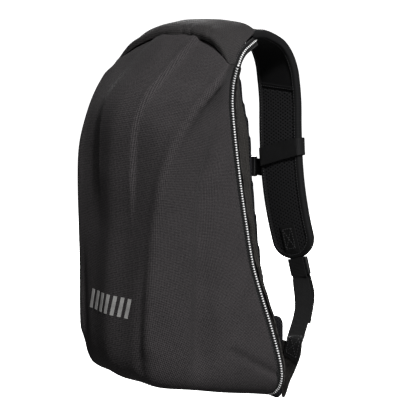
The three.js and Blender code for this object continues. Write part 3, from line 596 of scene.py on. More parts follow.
# Zip tape
# The woven tape of the main zip, sewn between the shell's rim and the gusset all the way round. Each half
# is folded over its coil, so that a low ridge runs on either side of the piping, and is sewn down by a row.
TAPE_HALF_WIDTH = 6.0 * MM
TAPE_WALL = 1.2 * MM
TAPE_SEAT = -0.5 * MM
COIL_RIDGE = 1.1 * MM
COIL_PLACE = 3.1 * MM
COIL_WIDTH = 1.2 * MM
TAPE_STEP = 3.0 * MM
TAPE_ROW = 5.0 * MM
TAPE_STATIONS = 900
TAPE_RIB = 2.6 * MM
TAPE_COLOURS = ("#050506", "#242424")
THREAD_COLOURS = ("#1b1b1c", "#4a4a4b")
STITCH_PITCH = 3.6 * MM
STITCH_LENGTH = 2.7 * MM
STITCH_WIDTH = 0.9 * MM
STITCH_HEIGHT = 0.7 * MM


class Course:
    """A line that flat pieces are bent to. At each distance along it, it knows its centre and the
    directions of its run, its width and its face."""

    def __init__(self, centres, wides, finer=8):
        count = len(centres)
        at = np.linspace(0, count - 1, finer * (count - 1) + 1)
        k = np.minimum(at.astype(int), count - 2)
        t = (at - k)[:, None]

        def through(values):
            before, after = values[np.maximum(k - 1, 0)], values[np.minimum(k + 2, count - 1)]
            a, b = values[k], values[k + 1]
            rise_a, rise_b = (b - before) / 2, (after - a) / 2
            return (a * (1 + 2 * t) * (1 - t) ** 2 + rise_a * t * (1 - t) ** 2
                    + b * t * t * (3 - 2 * t) - rise_b * t * t * (1 - t))

        self.centre = through(np.asarray(centres, dtype=float))
        steps = np.linalg.norm(np.diff(self.centre, axis=0), axis=1)
        self.along = np.concatenate([[0], np.cumsum(steps)])
        self.length = self.along[-1]
        run = np.gradient(self.centre, axis=0)
        self.run = run / np.linalg.norm(run, axis=1)[:, None]
        wide = through(np.asarray(wides, dtype=float))
        wide -= (wide * self.run).sum(1)[:, None] * self.run
        self.wide = wide / np.linalg.norm(wide, axis=1)[:, None]
        self.face = np.cross(self.wide, self.run)

    def at(self, values, distance):
        return np.column_stack([np.interp(distance, self.along, column) for column in values.T])

    def bend(self, piece):
        """Bends a piece that was made flat, with X across, Y along and Z out, to the course."""
        x, y, z = places_of(piece).T[:, :, None]
        y = y.ravel()
        beyond = (y - np.clip(y, 0, self.length))[:, None]
        place_vertices(piece, self.at(self.centre, y) + x * self.at(self.wide, y)
                       + z * self.at(self.face, y) + beyond * self.at(self.run, y))
        return piece


def read_course(node, wide_hint, starts_at, skip=0):
    """The course of a strap-like frame node, through its rings of corners. It starts at the end cap whose
    faces starts_at picks out, and leaves out the rings to skip at either end."""
    mesh = frame["nodes"][node].data
    corners = np.array([vertex.co for vertex in mesh.vertices])
    _, first, index = np.unique(np.round(corners / MM, 2), axis=0, return_index=True, return_inverse=True)
    corners, index = corners[first], index.ravel()
    near = {k: set() for k in range(len(corners))}
    ring = set()
    for polygon in mesh.polygons:
        face = [int(index[v]) for v in polygon.vertices]
        for corner in face:
            near[corner].update(face)
        if starts_at(polygon.center, polygon.normal):
            ring.update(face)
    seen, rings = set(), []
    while ring:
        seen |= ring
        rings.append(corners[sorted(ring)])
        ring = set().union(*(near[k] for k in ring)) - seen
    rings = rings[skip:len(rings) - skip]
    centres = np.array([points.mean(0) for points in rings])
    runs = np.gradient(centres, axis=0)
    runs /= np.linalg.norm(runs, axis=1)[:, None]
    wides = []
    for centre, run, points in zip(centres, runs, rings):
        _, sizes, axes = np.linalg.svd(points - centre, full_matrices=False)
        hint = np.array(wide_hint) - np.dot(wide_hint, run) * run
        wide = axes[0] - np.dot(axes[0], run) * run if sizes[0] > 1.3 * sizes[1] else hint
        wides.append(wide / np.linalg.norm(wide) * (1 if np.dot(wide, hint) > 0 else -1))
    return Course(centres, wides)


def flat_strip(name, start, end, cuts_across, cuts_along, half_width=1.0):
    """A strip that lies flat and centred, from start to end along Y."""
    bpy.ops.object.select_all(action="DESELECT")
    bpy.ops.mesh.primitive_grid_add(x_subdivisions=cuts_across, y_subdivisions=cuts_along, size=2)
    piece = bpy.context.object
    piece.name = name
    places = places_of(piece)
    places[:, 0] *= half_width
    places[:, 1] = start + (places[:, 1] + 1) / 2 * (end - start)
    place_vertices(piece, places)
    return piece


def map_flat(piece, across=0, along=1, over=2):
    """A UV map in metres, taken from the piece's coordinates before it is bent."""
    mesh = piece.data
    layer = mesh.uv_layers.active or mesh.uv_layers.new(name="UVMap")
    corner = np.zeros(len(mesh.loops), dtype=np.int32)
    mesh.loops.foreach_get("vertex_index", corner)
    places = places_of(piece)[corner]
    layer.data.foreach_set("uv", np.column_stack([places[:, across] + places[:, over],
                                                  places[:, along]]).ravel())


def merge_seam(piece):
    """Merges the corners that meet where a strip closes on itself."""
    only(piece)
    bpy.ops.object.mode_set(mode="EDIT")
    bpy.ops.mesh.select_all(action="SELECT")
    bpy.ops.mesh.remove_doubles(threshold=0.05 * MM)
    bpy.ops.object.mode_set(mode="OBJECT")


def sew(name, rows):
    """Thread stitches along rows of points. A row comes with the direction that its stitches stand out in.
    One stitch is modelled, and the others are copies of it."""
    bpy.ops.object.select_all(action="DESELECT")
    bpy.ops.mesh.primitive_uv_sphere_add(segments=6, ring_count=4, radius=0.5)
    piece = bpy.context.object
    piece.name = name
    shape = places_of(piece) * [STITCH_WIDTH, STITCH_LENGTH, STITCH_HEIGHT]
    sides = [list(face.vertices) for face in piece.data.polygons]
    corners, faces = [], []
    for points, out in rows:
        points = np.asarray(points, dtype=float)
        along = np.concatenate([[0], np.cumsum(np.linalg.norm(np.diff(points, axis=0), axis=1))])
        count = max(1, int(along[-1] / STITCH_PITCH))
        at = (np.arange(count) + 0.5) * along[-1] / count

        def on_row(distance):
            return np.column_stack([np.interp(distance, along, column) for column in points.T])

        run = on_row(at + STITCH_LENGTH / 2) - on_row(at - STITCH_LENGTH / 2)
        run /= np.linalg.norm(run, axis=1)[:, None]
        side = np.cross(run, np.broadcast_to(np.asarray(out, dtype=float), run.shape))
        side /= np.linalg.norm(side, axis=1)[:, None]
        up = np.cross(side, run)
        for middle, s, r, u in zip(on_row(at), side, run, up):
            first = sum(len(block) for block in corners)
            corners.append(middle + shape @ np.array([s, r, u]))
            faces.extend([[first + k for k in face] for face in sides])
    mesh = bpy.data.meshes.new(name)
    mesh.from_pydata(np.vstack(corners).tolist(), [], faces)
    old, piece.data = piece.data, mesh
    bpy.data.meshes.remove(old)
    only(piece)
    bpy.ops.object.shade_smooth()
    dress(piece, thread)
    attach(piece, "root")
    return piece


# Bonded nylon thread: smooth, with its twist just showing
thread, thread_tree, thread_shader = new_material("bonded_nylon_thread", Roughness=0.5,
                                                  Specular_IOR_Level=0.35)
thread_place = add_node(thread_tree, "ShaderNodeTexCoord").outputs["Object"]
colour_by(thread_tree, thread_shader, noise(thread_tree, thread_place, 900.0, 1.0), THREAD_COLOURS)


def ribbed_tape(name, colours, rib, depth=0.3 * MM):
    """Woven polyester tape: ribs across it, each broken by its yarns, in a fairly shiny filament."""
    material, tree, shader = new_material(name, Roughness=0.7, Sheen_Weight=0.02, Specular_IOR_Level=0.14)
    place = add_node(tree, "ShaderNodeUVMap").outputs["UV"]
    yarns = bands(tree, place, "X", 0.7 * rib, Distortion=1.2, Detail=1.0)
    woven = reckon(tree, "MULTIPLY", bands(tree, place, "Y", rib), yarns)
    shade = mix(tree, 0.3, woven, noise(tree, place, 60.0, 2.0))
    colour_by(tree, shader, shade, colours)
    emboss(tree, shader, woven, depth, 0.9)
    return material


zip_course = read_course("zip_tape", (0, -1.0, 0),
                         lambda place, normal: normal.z > 0.6 and place.x > 0 and place.z > 0.0115, skip=1)
tape = flat_strip("zip_tape_cloth", 0, zip_course.length, 16, round(zip_course.length / TAPE_STEP),
                  TAPE_HALF_WIDTH)
places = places_of(tape)
places[:, 2] = TAPE_SEAT + COIL_RIDGE * bump(np.abs(places[:, 0]) - COIL_PLACE, COIL_WIDTH)
place_vertices(tape, places)
map_flat(tape)
zip_course.bend(tape)
finish_with(tape, "SOLIDIFY", thickness=TAPE_WALL, offset=-1)
bpy.ops.object.shade_smooth()
tape_weave = ribbed_tape("zip_tape_weave", TAPE_COLOURS, TAPE_RIB)
dress(tape, tape_weave)
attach(tape, "root")
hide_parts("zip_tape")
stations = np.linspace(0, zip_course.length, TAPE_STATIONS)
tape_rows = [(np.column_stack([np.full(TAPE_STATIONS, side * TAPE_ROW), stations,
                               np.full(TAPE_STATIONS, TAPE_SEAT + 0.1 * MM)]), (0, 0, 1)) for side in (-1, 1)]
zip_course.bend(sew("zip_tape_stitches", tape_rows))


# Reflective piping
# A round cord sewn in along the middle of the zip. Its cover is woven in short blocks, a white
# retroreflective yarn and a black one by turns, and the white blocks stand a little proud.
PIPING_RADIUS = 1.0 * MM
PIPING_LIFT = 1.9 * MM
PIPING_FLANGE = 2.0 * MM
PIPING_SIDES = 8
PIPING_END = 1.2 * MM
BEAD_PITCH = 3.3 * MM
BEAD_SHARE = 0.50
BEAD_SWELL = 0.14
BEAD_STEPS = 8
BEAD_BLUR = 0.04
BEAD_COLOURS = ("#060606", "#f4f4f4")

beads = round(zip_course.length / BEAD_PITCH)
bead_pitch = zip_course.length / beads
piping = flat_strip("piping_cord", 0, zip_course.length, PIPING_SIDES, beads * BEAD_STEPS)
places = places_of(piping)
turn = places[:, 0] * math.pi
in_bead = np.abs((places[:, 1] / bead_pitch) % 1 - BEAD_SHARE / 2)
swell = 1 + BEAD_SWELL * (1 - 2 * smooth_step(in_bead, 0.8 * BEAD_SHARE / 2, 1.2 * BEAD_SHARE / 2))
from_end = np.minimum(places[:, 1], zip_course.length - places[:, 1])
swell *= np.sqrt(np.clip(from_end / PIPING_END, 0, 1))
across = np.sin(turn) * PIPING_RADIUS * swell
lift = -np.cos(turn) * PIPING_RADIUS * swell
flat_map = np.column_stack([turn * PIPING_RADIUS, places[:, 1], np.zeros(len(places))])
place_vertices(piping, flat_map)
map_flat(piping)
under = (lift < -0.8 * PIPING_RADIUS) & (from_end > PIPING_END)
lift = np.where(under, -PIPING_FLANGE, lift)
place_vertices(piping, np.column_stack([across, places[:, 1], lift + PIPING_LIFT]))
zip_course.bend(piping)
merge_seam(piping)
bpy.ops.object.shade_smooth()

# Retroreflective braid: white blocks of glass-beaded yarn between black ones
cord_cover, cord_tree, cord_shader = new_material("retroreflective_braid", Roughness=0.42, Metallic=0.0,
                                                  Specular_IOR_Level=0.5)
cord_map = add_node(cord_tree, "ShaderNodeUVMap").outputs["UV"]
cord_along = add_node(cord_tree, "ShaderNodeSeparateXYZ", None, Vector=cord_map).outputs["Y"]
in_pair = reckon(cord_tree, "FRACT", reckon(cord_tree, "MULTIPLY", cord_along, 1 / bead_pitch))
from_middle = reckon(cord_tree, "ABSOLUTE", reckon(cord_tree, "SUBTRACT", in_pair, BEAD_SHARE / 2))
white = remap(cord_tree, from_middle, BEAD_SHARE / 2 - BEAD_BLUR, BEAD_SHARE / 2 + BEAD_BLUR, 1.0, 0.0)
colour_by(cord_tree, cord_shader, white, BEAD_COLOURS)
dress(piping, cord_cover)
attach(piping, "root")
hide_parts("piping")


# Gusset
# The soft side wall between the zip and the back: one strip of the same polyester, lightly padded beside
# the back, that folds in along its middle and is eased round the shoulders of the bag.
GUSSET_WALL = 2.4 * MM
GUSSET_COLOURS = ("#191817", "#3a3836")
GUSSET_FOLD_DEPTH = 3.2 * MM
GUSSET_FOLD_WIDTH = 2.6 * MM
GUSSET_FOLD_PLACE = -24 * MM
GUSSET_PAD = 1.8 * MM
GUSSET_PAD_PLACE = -17.5 * MM
GUSSET_PAD_WIDTH = 4.5 * MM
GUSSET_WAVE = 0.8 * MM
GUSSET_WAVE_LENGTH = 38 * MM
GUSSET_WAVE_LEAN = 40
GUSSET_BEAT_LENGTH = 131 * MM
# Where the fold begins and ends down the side, and the waves across the strip, in metres
GUSSET_SIDE = (0.085, 0.125, 0.350, 0.410)
GUSSET_MIDDLE = (-0.041, -0.033, -0.019, -0.013)


def gusset_relief(places):
    """The fold along the middle, the padded band behind it and the easing waves."""
    _, y, z = places.T
    on_side = rise_and_fall(-z, *GUSSET_SIDE)
    relief = -GUSSET_FOLD_DEPTH * bump(y - GUSSET_FOLD_PLACE, GUSSET_FOLD_WIDTH) * on_side
    relief += GUSSET_PAD * bump(y - GUSSET_PAD_PLACE, GUSSET_PAD_WIDTH) * on_side
    wave = np.sin(2 * math.pi * z / GUSSET_WAVE_LENGTH + GUSSET_WAVE_LEAN * y)
    wave *= np.sin(2 * math.pi * z / GUSSET_BEAT_LENGTH)
    return relief + GUSSET_WAVE * wave * rise_and_fall(y, *GUSSET_MIDDLE)


gusset = merged_copy("gusset", "side_gusset")
keep_skin(gusset, lambda face: -face.center.x, 45)
lay_out(gusset)
finish_with(gusset, "SUBSURF", levels=3, render_levels=3)
sculpt(gusset, gusset_relief)
finish_with(gusset, "SOLIDIFY", thickness=GUSSET_WALL, offset=-1)
bpy.ops.object.shade_smooth()
gusset_cloth = woven_cloth("gusset_polyester", GUSSET_COLOURS, YARN_PITCH)
dress(gusset, gusset_cloth)
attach(gusset, "root")
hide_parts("gusset")


# Reflective bars
# Slim slanted bars of silver retroreflective film, heat pressed on the lower front of the shell as a
# plain safety mark.
BAR_COUNT = 7
BAR_WIDTH = 5.6 * MM
BAR_SLANT = 0.24
BAR_FILM = 0.45 * MM
FILM_COLOURS = ("#a3a2a1", "#c9c8c6")


def lay_on(piece, base, toward):
    """Drops a piece that is modelled on a plane onto the surface of a base, along a direction. Each
    corner keeps its own height over the plane."""
    toward = Vector(toward)
    landed = []
    for corner in places_of(piece):
        height = -Vector(corner).dot(toward)
        flat = Vector(corner) + toward * height
        hit, *_ = base.ray_cast(flat - toward * 0.5, toward)
        landed.append((hit if hit else flat) - toward * height)
    place_vertices(piece, np.array(landed))


def tree_of(piece):
    """A piece's surface as a tree that rays can be cast at."""
    return BVHTree.FromPolygons([tuple(place) for place in places_of(piece)],
                                [tuple(face.vertices) for face in piece.data.polygons])


mark_low, mark_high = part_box("reflective_patch")
bar_height = mark_high.z - mark_low.z
bar_pitch = (mark_high.x - mark_low.x - BAR_WIDTH - BAR_SLANT * bar_height) / (BAR_COUNT - 1)
bars = flat_strip("reflective_bars", 0, bar_height, 3, 14, BAR_WIDTH / 2)
places = places_of(bars)
slanted = places[:, 0] + mark_low.x + BAR_WIDTH / 2 + BAR_SLANT * places[:, 1]
place_vertices(bars, np.column_stack([slanted, np.zeros(len(places)), mark_low.z + places[:, 1]]))
map_flat(bars, along=2, over=1)
for number in range(1, BAR_COUNT):
    copy = bpy.data.objects.new("reflective_bar", bars.data.copy())
    bpy.context.scene.collection.objects.link(copy)
    place_vertices(copy, places_of(bars) + [number * bar_pitch, 0, 0])
bpy.ops.object.select_all(action="DESELECT")
for copy in [piece for piece in bpy.data.objects if piece.name.startswith("reflective_bar")]:
    copy.select_set(True)
bpy.context.view_layer.objects.active = bars
bpy.ops.object.join()
lay_on(bars, tree_of(shell), (0, 1.0, 0))
finish_with(bars, "SOLIDIFY", thickness=2 * BAR_FILM, offset=0)
bpy.ops.object.shade_smooth_by_angle(angle=math.radians(40))

# Retroreflective film: a dull silver of tiny glass beads, a little brushed by wear
film, film_tree, film_shader = new_material("retroreflective_film", Roughness=0.4, Metallic=0.25,
                                            Specular_IOR_Level=0.5)
film_place = add_node(film_tree, "ShaderNodeUVMap").outputs["UV"]
glass_beads = noise(film_tree, film_place, 700.0, 2.0)
rubbed = noise(film_tree, film_place, 70.0, 3.0)
shine = remap(film_tree, reckon(film_tree, "MULTIPLY", glass_beads, rubbed), 0.1, 0.4)
colour_by(film_tree, film_shader, shine, FILM_COLOURS)
dress(bars, film)
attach(bars, "root")
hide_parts("reflective_patch")


# Back panel
# The padded back: foam under spacer mesh, with two sewn channels that let air up the wearer's back.
BACK_VOXEL = 6 * MM
BACK_SWELL = 4 * MM
BACK_SHRINK = 1.2 * MM
CHANNEL_OUT = 46 * MM
CHANNEL_WIDTH = 7 * MM
CHANNEL_DROP = 3.2 * MM
CHANNEL_TOP = -70 * MM
CHANNEL_FOOT = -330 * MM
# The first colour is painted shade in the mesh's holes, and the second is the yarn.
BACK_MESH_COLOURS = ("#08080a", "#222224")
BACK_MESH_CELL = 4.2 * MM
EYELET_DEPTH = 0.8 * MM
BACK_SEWN_LAYER = 4 * MM
BACK_MOST = 2.7 * MM
BACK_LEAST = -0.3 * MM
CHANNEL_STATIONS = 120
# The stretch over which the two channels begin, and where the back goes flat under the lumbar pad
CHANNELS_BELOW = (0.03, 0.06)
UNDER_LUMBAR = (0.325, 0.345)


def stuff(piece, voxel, most, held=None, pressure=4.0):
    """Fills a closed cover: it is remeshed, blown up as cloth with no gravity, and no point moves further
    than the most it may. Points in held stay as sewn."""
    finish_with(piece, "REMESH", mode="VOXEL", voxel_size=voxel)
    start = places_of(piece)
    cloth = piece.modifiers.new("cloth", "CLOTH")
    cloth.settings.quality = 4
    cloth.settings.use_pressure = True
    cloth.settings.uniform_pressure_force = pressure
    cloth.settings.effector_weights.gravity = 0
    if held is not None:
        seam = piece.vertex_groups.new(name="seam")
        seam.add([int(k) for k in np.flatnonzero(held(start))], 1.0, "REPLACE")
        cloth.settings.vertex_group_mass = "seam"
    for moment in range(1, 21):
        bpy.context.scene.frame_set(moment)
    blown = piece.evaluated_get(bpy.context.evaluated_depsgraph_get())
    moved = places_of(blown) - start
    far = np.linalg.norm(moved, axis=1)[:, None]
    piece.modifiers.remove(cloth)
    bpy.context.scene.frame_set(1)
    place_vertices(piece, start + moved * np.minimum(1, most / np.maximum(far, 1e-9)))
    finish_with(piece, "SUBSURF", levels=1, render_levels=1)
    bpy.ops.object.shade_smooth()


def spacer_mesh(name, colours, cell):
    """Knitted polyester spacer mesh: rows of small eyelets, staggered, in a dull yarn. The holes are not cut;
    they are painted in the dark colour, as painted shade inside them.
    """
    material, tree, shader = new_material(name, Roughness=0.95, Sheen_Weight=0.02, Specular_IOR_Level=0.06)
    place = add_node(tree, "ShaderNodeUVMap").outputs["UV"]
    parts = add_node(tree, "ShaderNodeSeparateXYZ", None, Vector=place)
    waves = []
    for turn in (0, 60, 120):
        angle = math.radians(turn)
        across = reckon(tree, "MULTIPLY", parts.outputs["X"], 2 * math.pi / cell * math.cos(angle))
        both = reckon(tree, "MULTIPLY_ADD", parts.outputs["Y"], 2 * math.pi / cell * math.sin(angle), across)
        waves.append(reckon(tree, "COSINE", both))
    together = reckon(tree, "ADD", reckon(tree, "ADD", waves[0], waves[1]), waves[2])
    # Painted shade: the share is 0 in the holes, which take the dark colour as the shade inside them, and 1
    # on the yarn. The same pattern also gives the bump.
    eyelet = remap(tree, together, 0.2, 1.6, 1.0, 0.0, "SMOOTHSTEP")
    worn = remap(tree, noise(tree, place, 2.2 / cell, 2.0), 0.25, 0.75, 0.45, 1.0)
    colour_by(tree, shader, reckon(tree, "MULTIPLY", eyelet, worn), colours)
    emboss(tree, shader, eyelet, EYELET_DEPTH, 0.9)
    return material


back_low, back_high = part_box("back_panel")
back_middle = (back_low.y + back_high.y) / 2
back = merged_copy("back_panel", "back_pad")
places = places_of(back)
share_left = 1 - 2 * BACK_SHRINK / (back_high.y - back_low.y)
places[:, 1] = back_middle + (places[:, 1] - back_middle) * share_left
place_vertices(back, places)
stuff(back, BACK_VOXEL, BACK_SWELL, lambda points: points[:, 1] < back_low.y + BACK_SEWN_LAYER)
places = places_of(back)
x, y, z = places.T
channel = bump(np.abs(x) - CHANNEL_OUT, CHANNEL_WIDTH) * smooth_step(-z, *CHANNELS_BELOW)
places[:, 1] -= CHANNEL_DROP * channel * (y > back_middle)
over_lumbar = 1 - smooth_step(-z, *UNDER_LUMBAR)
most = back_high.y + BACK_LEAST + (BACK_MOST - BACK_LEAST) * over_lumbar
places[:, 1] = np.clip(places[:, 1], back_low.y, most)
place_vertices(back, places)
map_flat(back, along=2, over=1)
back_mesh = spacer_mesh("back_spacer_mesh", BACK_MESH_COLOURS, BACK_MESH_CELL)
dress(back, back_mesh)
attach(back, "root")
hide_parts("back_panel")
stations = np.linspace(CHANNEL_TOP, CHANNEL_FOOT, CHANNEL_STATIONS)
channel_rows = [(np.column_stack([np.full(CHANNEL_STATIONS, side * CHANNEL_OUT), 0 * stations, stations]),
                 (0, 1.0, 0)) for side in (-1, 1)]
channel_stitches = sew("channel_stitches", channel_rows)
lay_on(channel_stitches, tree_of(back), (0, -1.0, 0))


# Lumbar pad
# A firm foam pad in spacer mesh, sewn through all round close to its edge, that stands on the low back
# and hangs a little below the bag. The wings are sewn into its sides.
LUMBAR_VOXEL = 4 * MM
LUMBAR_SWELL = 2.4 * MM
LUMBAR_SHRINK = 1.0 * MM
LUMBAR_ROW = 9 * MM
LUMBAR_GROOVE = 1.6 * MM
LUMBAR_GROOVE_WIDTH = 2.2 * MM
# The first colour is painted shade in the mesh's holes, and the second is the yarn.
LUMBAR_MESH_COLOURS = ("#08080a", "#242426")
LUMBAR_MESH_CELL = 3.4 * MM
LUMBAR_RIM = 1.5 * MM

lumbar_low, lumbar_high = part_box("lumbar_pad")
lumbar_middle = (np.array(lumbar_low) + np.array(lumbar_high)) / 2
lumbar_half = (np.array(lumbar_high) - np.array(lumbar_low)) / 2
lumbar = merged_copy("lumbar_pad", "lumbar_cover")
places = places_of(lumbar)
places = lumbar_middle + (places - lumbar_middle) * (1 - LUMBAR_SHRINK * np.array([0, 1, 0]) / lumbar_half)
place_vertices(lumbar, places)
stuff(lumbar, LUMBAR_VOXEL, LUMBAR_SWELL)
places = places_of(lumbar)
limits = lumbar_half + [LUMBAR_RIM, 0, LUMBAR_RIM]
places = lumbar_middle + np.clip(places - lumbar_middle, -limits, limits)
from_edge = np.minimum(limits[0] - np.abs(places[:, 0] - lumbar_middle[0]),
                       limits[2] - np.abs(places[:, 2] - lumbar_middle[2]))
outer = places[:, 1] > lumbar_middle[1]
places[:, 1] -= np.where(outer, LUMBAR_GROOVE * bump(from_edge - LUMBAR_ROW, LUMBAR_GROOVE_WIDTH), 0)
place_vertices(lumbar, places)
map_flat(lumbar, along=2, over=1)
lumbar_mesh = spacer_mesh("lumbar_spacer_mesh", LUMBAR_MESH_COLOURS, LUMBAR_MESH_CELL)
dress(lumbar, lumbar_mesh)
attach(lumbar, "root")
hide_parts("lumbar_pad")
across, up = limits[0] - LUMBAR_ROW, limits[2] - LUMBAR_ROW
corner_signs = [(-1, -1), (1, -1), (1, 1), (-1, 1), (-1, -1)]
lumbar_row = [(lumbar_middle[0] + sx * across, 0, lumbar_middle[2] + sz * up) for sx, sz in corner_signs]
lumbar_stitches = sew("lumbar_stitches", [(lumbar_row, (0, 1.0, 0))])
lay_on(lumbar_stitches, tree_of(lumbar), (0, -1.0, 0))


# Shoulder straps
# Each strap is a curved foam pad in polyester, faced with spacer mesh on the wearer's side and bound all
# round with folded tape. It is made flat, stuffed and sewn, and then bent to its course.
STRAP_VOXEL = 3.4 * MM
STRAP_SWELL = 2.4 * MM
STRAP_RIM_THICKNESS = 8.8 * MM
STRAP_MOST = 6.9 * MM
STRAP_HALF = 34 * MM
STRAP_ROOT_HALF = 31 * MM
STRAP_WIDENS_TO = 100 * MM
STRAP_TIP = 27 * MM
CROSS_SEAM_AT = 120 * MM
CROSS_SEAM_LEAN = 0.16
STRAP_COLOURS = ("#0a0a0b", "#151516")
# The mesh's first colour is painted shade in its holes, and the second is the yarn.
STRAP_MESH_COLOURS = ("#000001", "#272728")
MESH_CELL = 4.2 * MM
BINDING_COLOURS = ("#0a0a0b", "#1c1c1d")
BINDING_WALL = 1.0 * MM
# The binding's section from the outer face of the pad round its rim to the inner one, in millimetres
BINDING_SECTION = [
    {"out": -6.8, "face": 4.6},
    {"out": -6.3, "face": 5.4},
    {"out": -3.0, "face": 5.5},
    {"out": 0.0, "face": 5.2},
    {"out": 1.1, "face": 3.6},
    {"out": 1.5, "face": 0.0},
    {"out": 1.1, "face": -3.6},
    {"out": 0.0, "face": -5.2},
    {"out": -3.0, "face": -5.5},
    {"out": -6.3, "face": -5.4},
    {"out": -6.8, "face": -4.6},
]
BINDING_ROW = 4.6 * MM
BINDING_FACE = 5.5 * MM
BINDING_RIB = 2.2 * MM
STRAP_YARN = 1.2 * MM
STRAP_CAP_GAP = 0.3 * MM
STRAP_INSIDE_BINDING = 0.6 * MM
SEWN_RIM = 6 * MM
SEWN_SEAM = 3 * MM
SEWN_ROOT = 3 * MM
SEWN_TIP = 7 * MM
SEAM_DIP = 1.6 * MM
SEAM_DIP_WIDTH = 2.5 * MM
HEM_LENGTH = 7 * MM
HEM_INSET = 7 * MM
HEM_WALL = 1.6 * MM
HEM_FACE = -7.2 * MM
# Where the sternum loop goes round the strap, how it leans and how far it presses the pad in
STERNUM_AT = 204.9 * MM
STERNUM_LEAN = -0.158
LOOP_PRESS = 0.9 * MM
LOOP_PRESS_WIDTH = 14 * MM

strap_course = read_course("shoulder_pad_right", (1.0, 0, 0),
                           lambda place, normal: normal.y < -0.9 and place.z > 0)
strap_length = strap_course.length


def strap_half(along):
    """Half the strap's width at each distance along it, with its rounded tip."""
    half = np.interp(along, [0, STRAP_WIDENS_TO], [STRAP_ROOT_HALF, STRAP_HALF])
    into_tip = np.clip((along - strap_length + STRAP_TIP) / STRAP_TIP, 0, 1)
    return half * np.sqrt(1 - into_tip ** 2)


def strap_outline(inset):
    """The strap's edge less an inset: down the right side, round the tip and up the left side."""
    down = np.linspace(0, strap_length - STRAP_TIP, 120)
    turn = np.linspace(0, math.pi, 62)[1:-1]
    side = strap_half(down) - inset
    tip = np.column_stack([(STRAP_HALF - inset) * np.cos(turn),
                           strap_length - STRAP_TIP + (STRAP_TIP - inset) * np.sin(turn)])
    return np.vstack([np.column_stack([side, down]), tip, np.column_stack([-side, down])[::-1]])


def sewn_edge(places):
    """The points along the strap's rim and across its seam, which the stitching holds."""
    x, y, z = places.T
    rim = np.abs(x) > strap_half(y) - SEWN_RIM
    seam = (np.abs(y - CROSS_SEAM_AT - CROSS_SEAM_LEAN * x) < SEWN_SEAM) & (z < 0)
    return rim | seam | (y < SEWN_ROOT) | (y > strap_length - SEWN_TIP)


def other_side(piece, name, *nodes):
    """The left-hand copy of a right-hand piece, with a mesh of its own."""
    copy = bpy.data.objects.new(name, piece.data.copy())
    bpy.context.scene.collection.objects.link(copy)
    places = places_of(copy)
    places[:, 0] *= -1
    copy.data.flip_normals()
    place_vertices(copy, places)
    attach(copy, "root")
    if nodes:
        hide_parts(*nodes)
    return copy


strap = flat_strip("strap_pad_right", 0, strap_length - STRAP_CAP_GAP, 18, 130)
places = places_of(strap)
places[:, 0] *= strap_half(places[:, 1]) - STRAP_INSIDE_BINDING
place_vertices(strap, places)
finish_with(strap, "SOLIDIFY", thickness=STRAP_RIM_THICKNESS, offset=0)
stuff(strap, STRAP_VOXEL, STRAP_SWELL, sewn_edge, pressure=30.0)
places = places_of(strap)
under_loop = bump(places[:, 1] - STERNUM_AT - STERNUM_LEAN * places[:, 0], LOOP_PRESS_WIDTH)
most = STRAP_MOST - LOOP_PRESS * under_loop
places[:, 2] = np.clip(places[:, 2], -most, most)
past_seam = places[:, 1] - CROSS_SEAM_AT - CROSS_SEAM_LEAN * places[:, 0]
places[:, 2] += np.where(places[:, 2] < 0, SEAM_DIP * bump(past_seam, SEAM_DIP_WIDTH), 0)
place_vertices(strap, places)
map_flat(strap)
strap_cloth = woven_cloth("strap_polyester", STRAP_COLOURS, STRAP_YARN)
strap_mesh = spacer_mesh("strap_spacer_mesh", STRAP_MESH_COLOURS, MESH_CELL)
dress(strap, strap_cloth)
strap.data.materials.append(strap_mesh)
for face in strap.data.polygons:
    past_seam = face.center.y - CROSS_SEAM_AT - CROSS_SEAM_LEAN * face.center.x
    face.material_index = int(face.normal.z < -0.4 and past_seam > 0)
strap_flat = tree_of(strap)
strap_course.bend(strap)
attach(strap, "root")
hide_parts("shoulder_pad_right")
strap_left = other_side(strap, "strap_pad_left", "shoulder_pad_left")

# The binding: its section is swept round the strap's edge
edge = strap_outline(0)
heading = np.gradient(edge, axis=0)
heading /= np.linalg.norm(heading, axis=1)[:, None]
outward = np.column_stack([heading[:, 1], -heading[:, 0]])
edge_along = np.concatenate([[0], np.cumsum(np.linalg.norm(np.diff(edge, axis=0), axis=1))])
section = np.array([[row["out"], row["face"]] for row in BINDING_SECTION]) * MM
section_along = np.concatenate([[0], np.cumsum(np.linalg.norm(np.diff(section, axis=0), axis=1))])
binding = flat_strip("strap_binding_right", 0, len(edge) - 1, len(section) - 1, len(edge) - 1)
places = places_of(binding)
column = np.rint((places[:, 0] + 1) / 2 * (len(section) - 1)).astype(int)
row = np.rint(places[:, 1]).astype(int)
place_vertices(binding, np.column_stack([section_along[column], edge_along[row], np.zeros(len(row))]))
map_flat(binding)
plan = edge[row] + outward[row] * section[column, :1]
place_vertices(binding, np.column_stack([plan, section[column, 1]]))
finish_with(binding, "SUBSURF", levels=1, render_levels=1)
finish_with(binding, "SOLIDIFY", thickness=BINDING_WALL, offset=-1)
bpy.ops.object.shade_smooth()
strap_course.bend(binding)
binding_weave = ribbed_tape("grosgrain_binding", BINDING_COLOURS, BINDING_RIB)
dress(binding, binding_weave)
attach(binding, "root")
other_side(binding, "strap_binding_left")

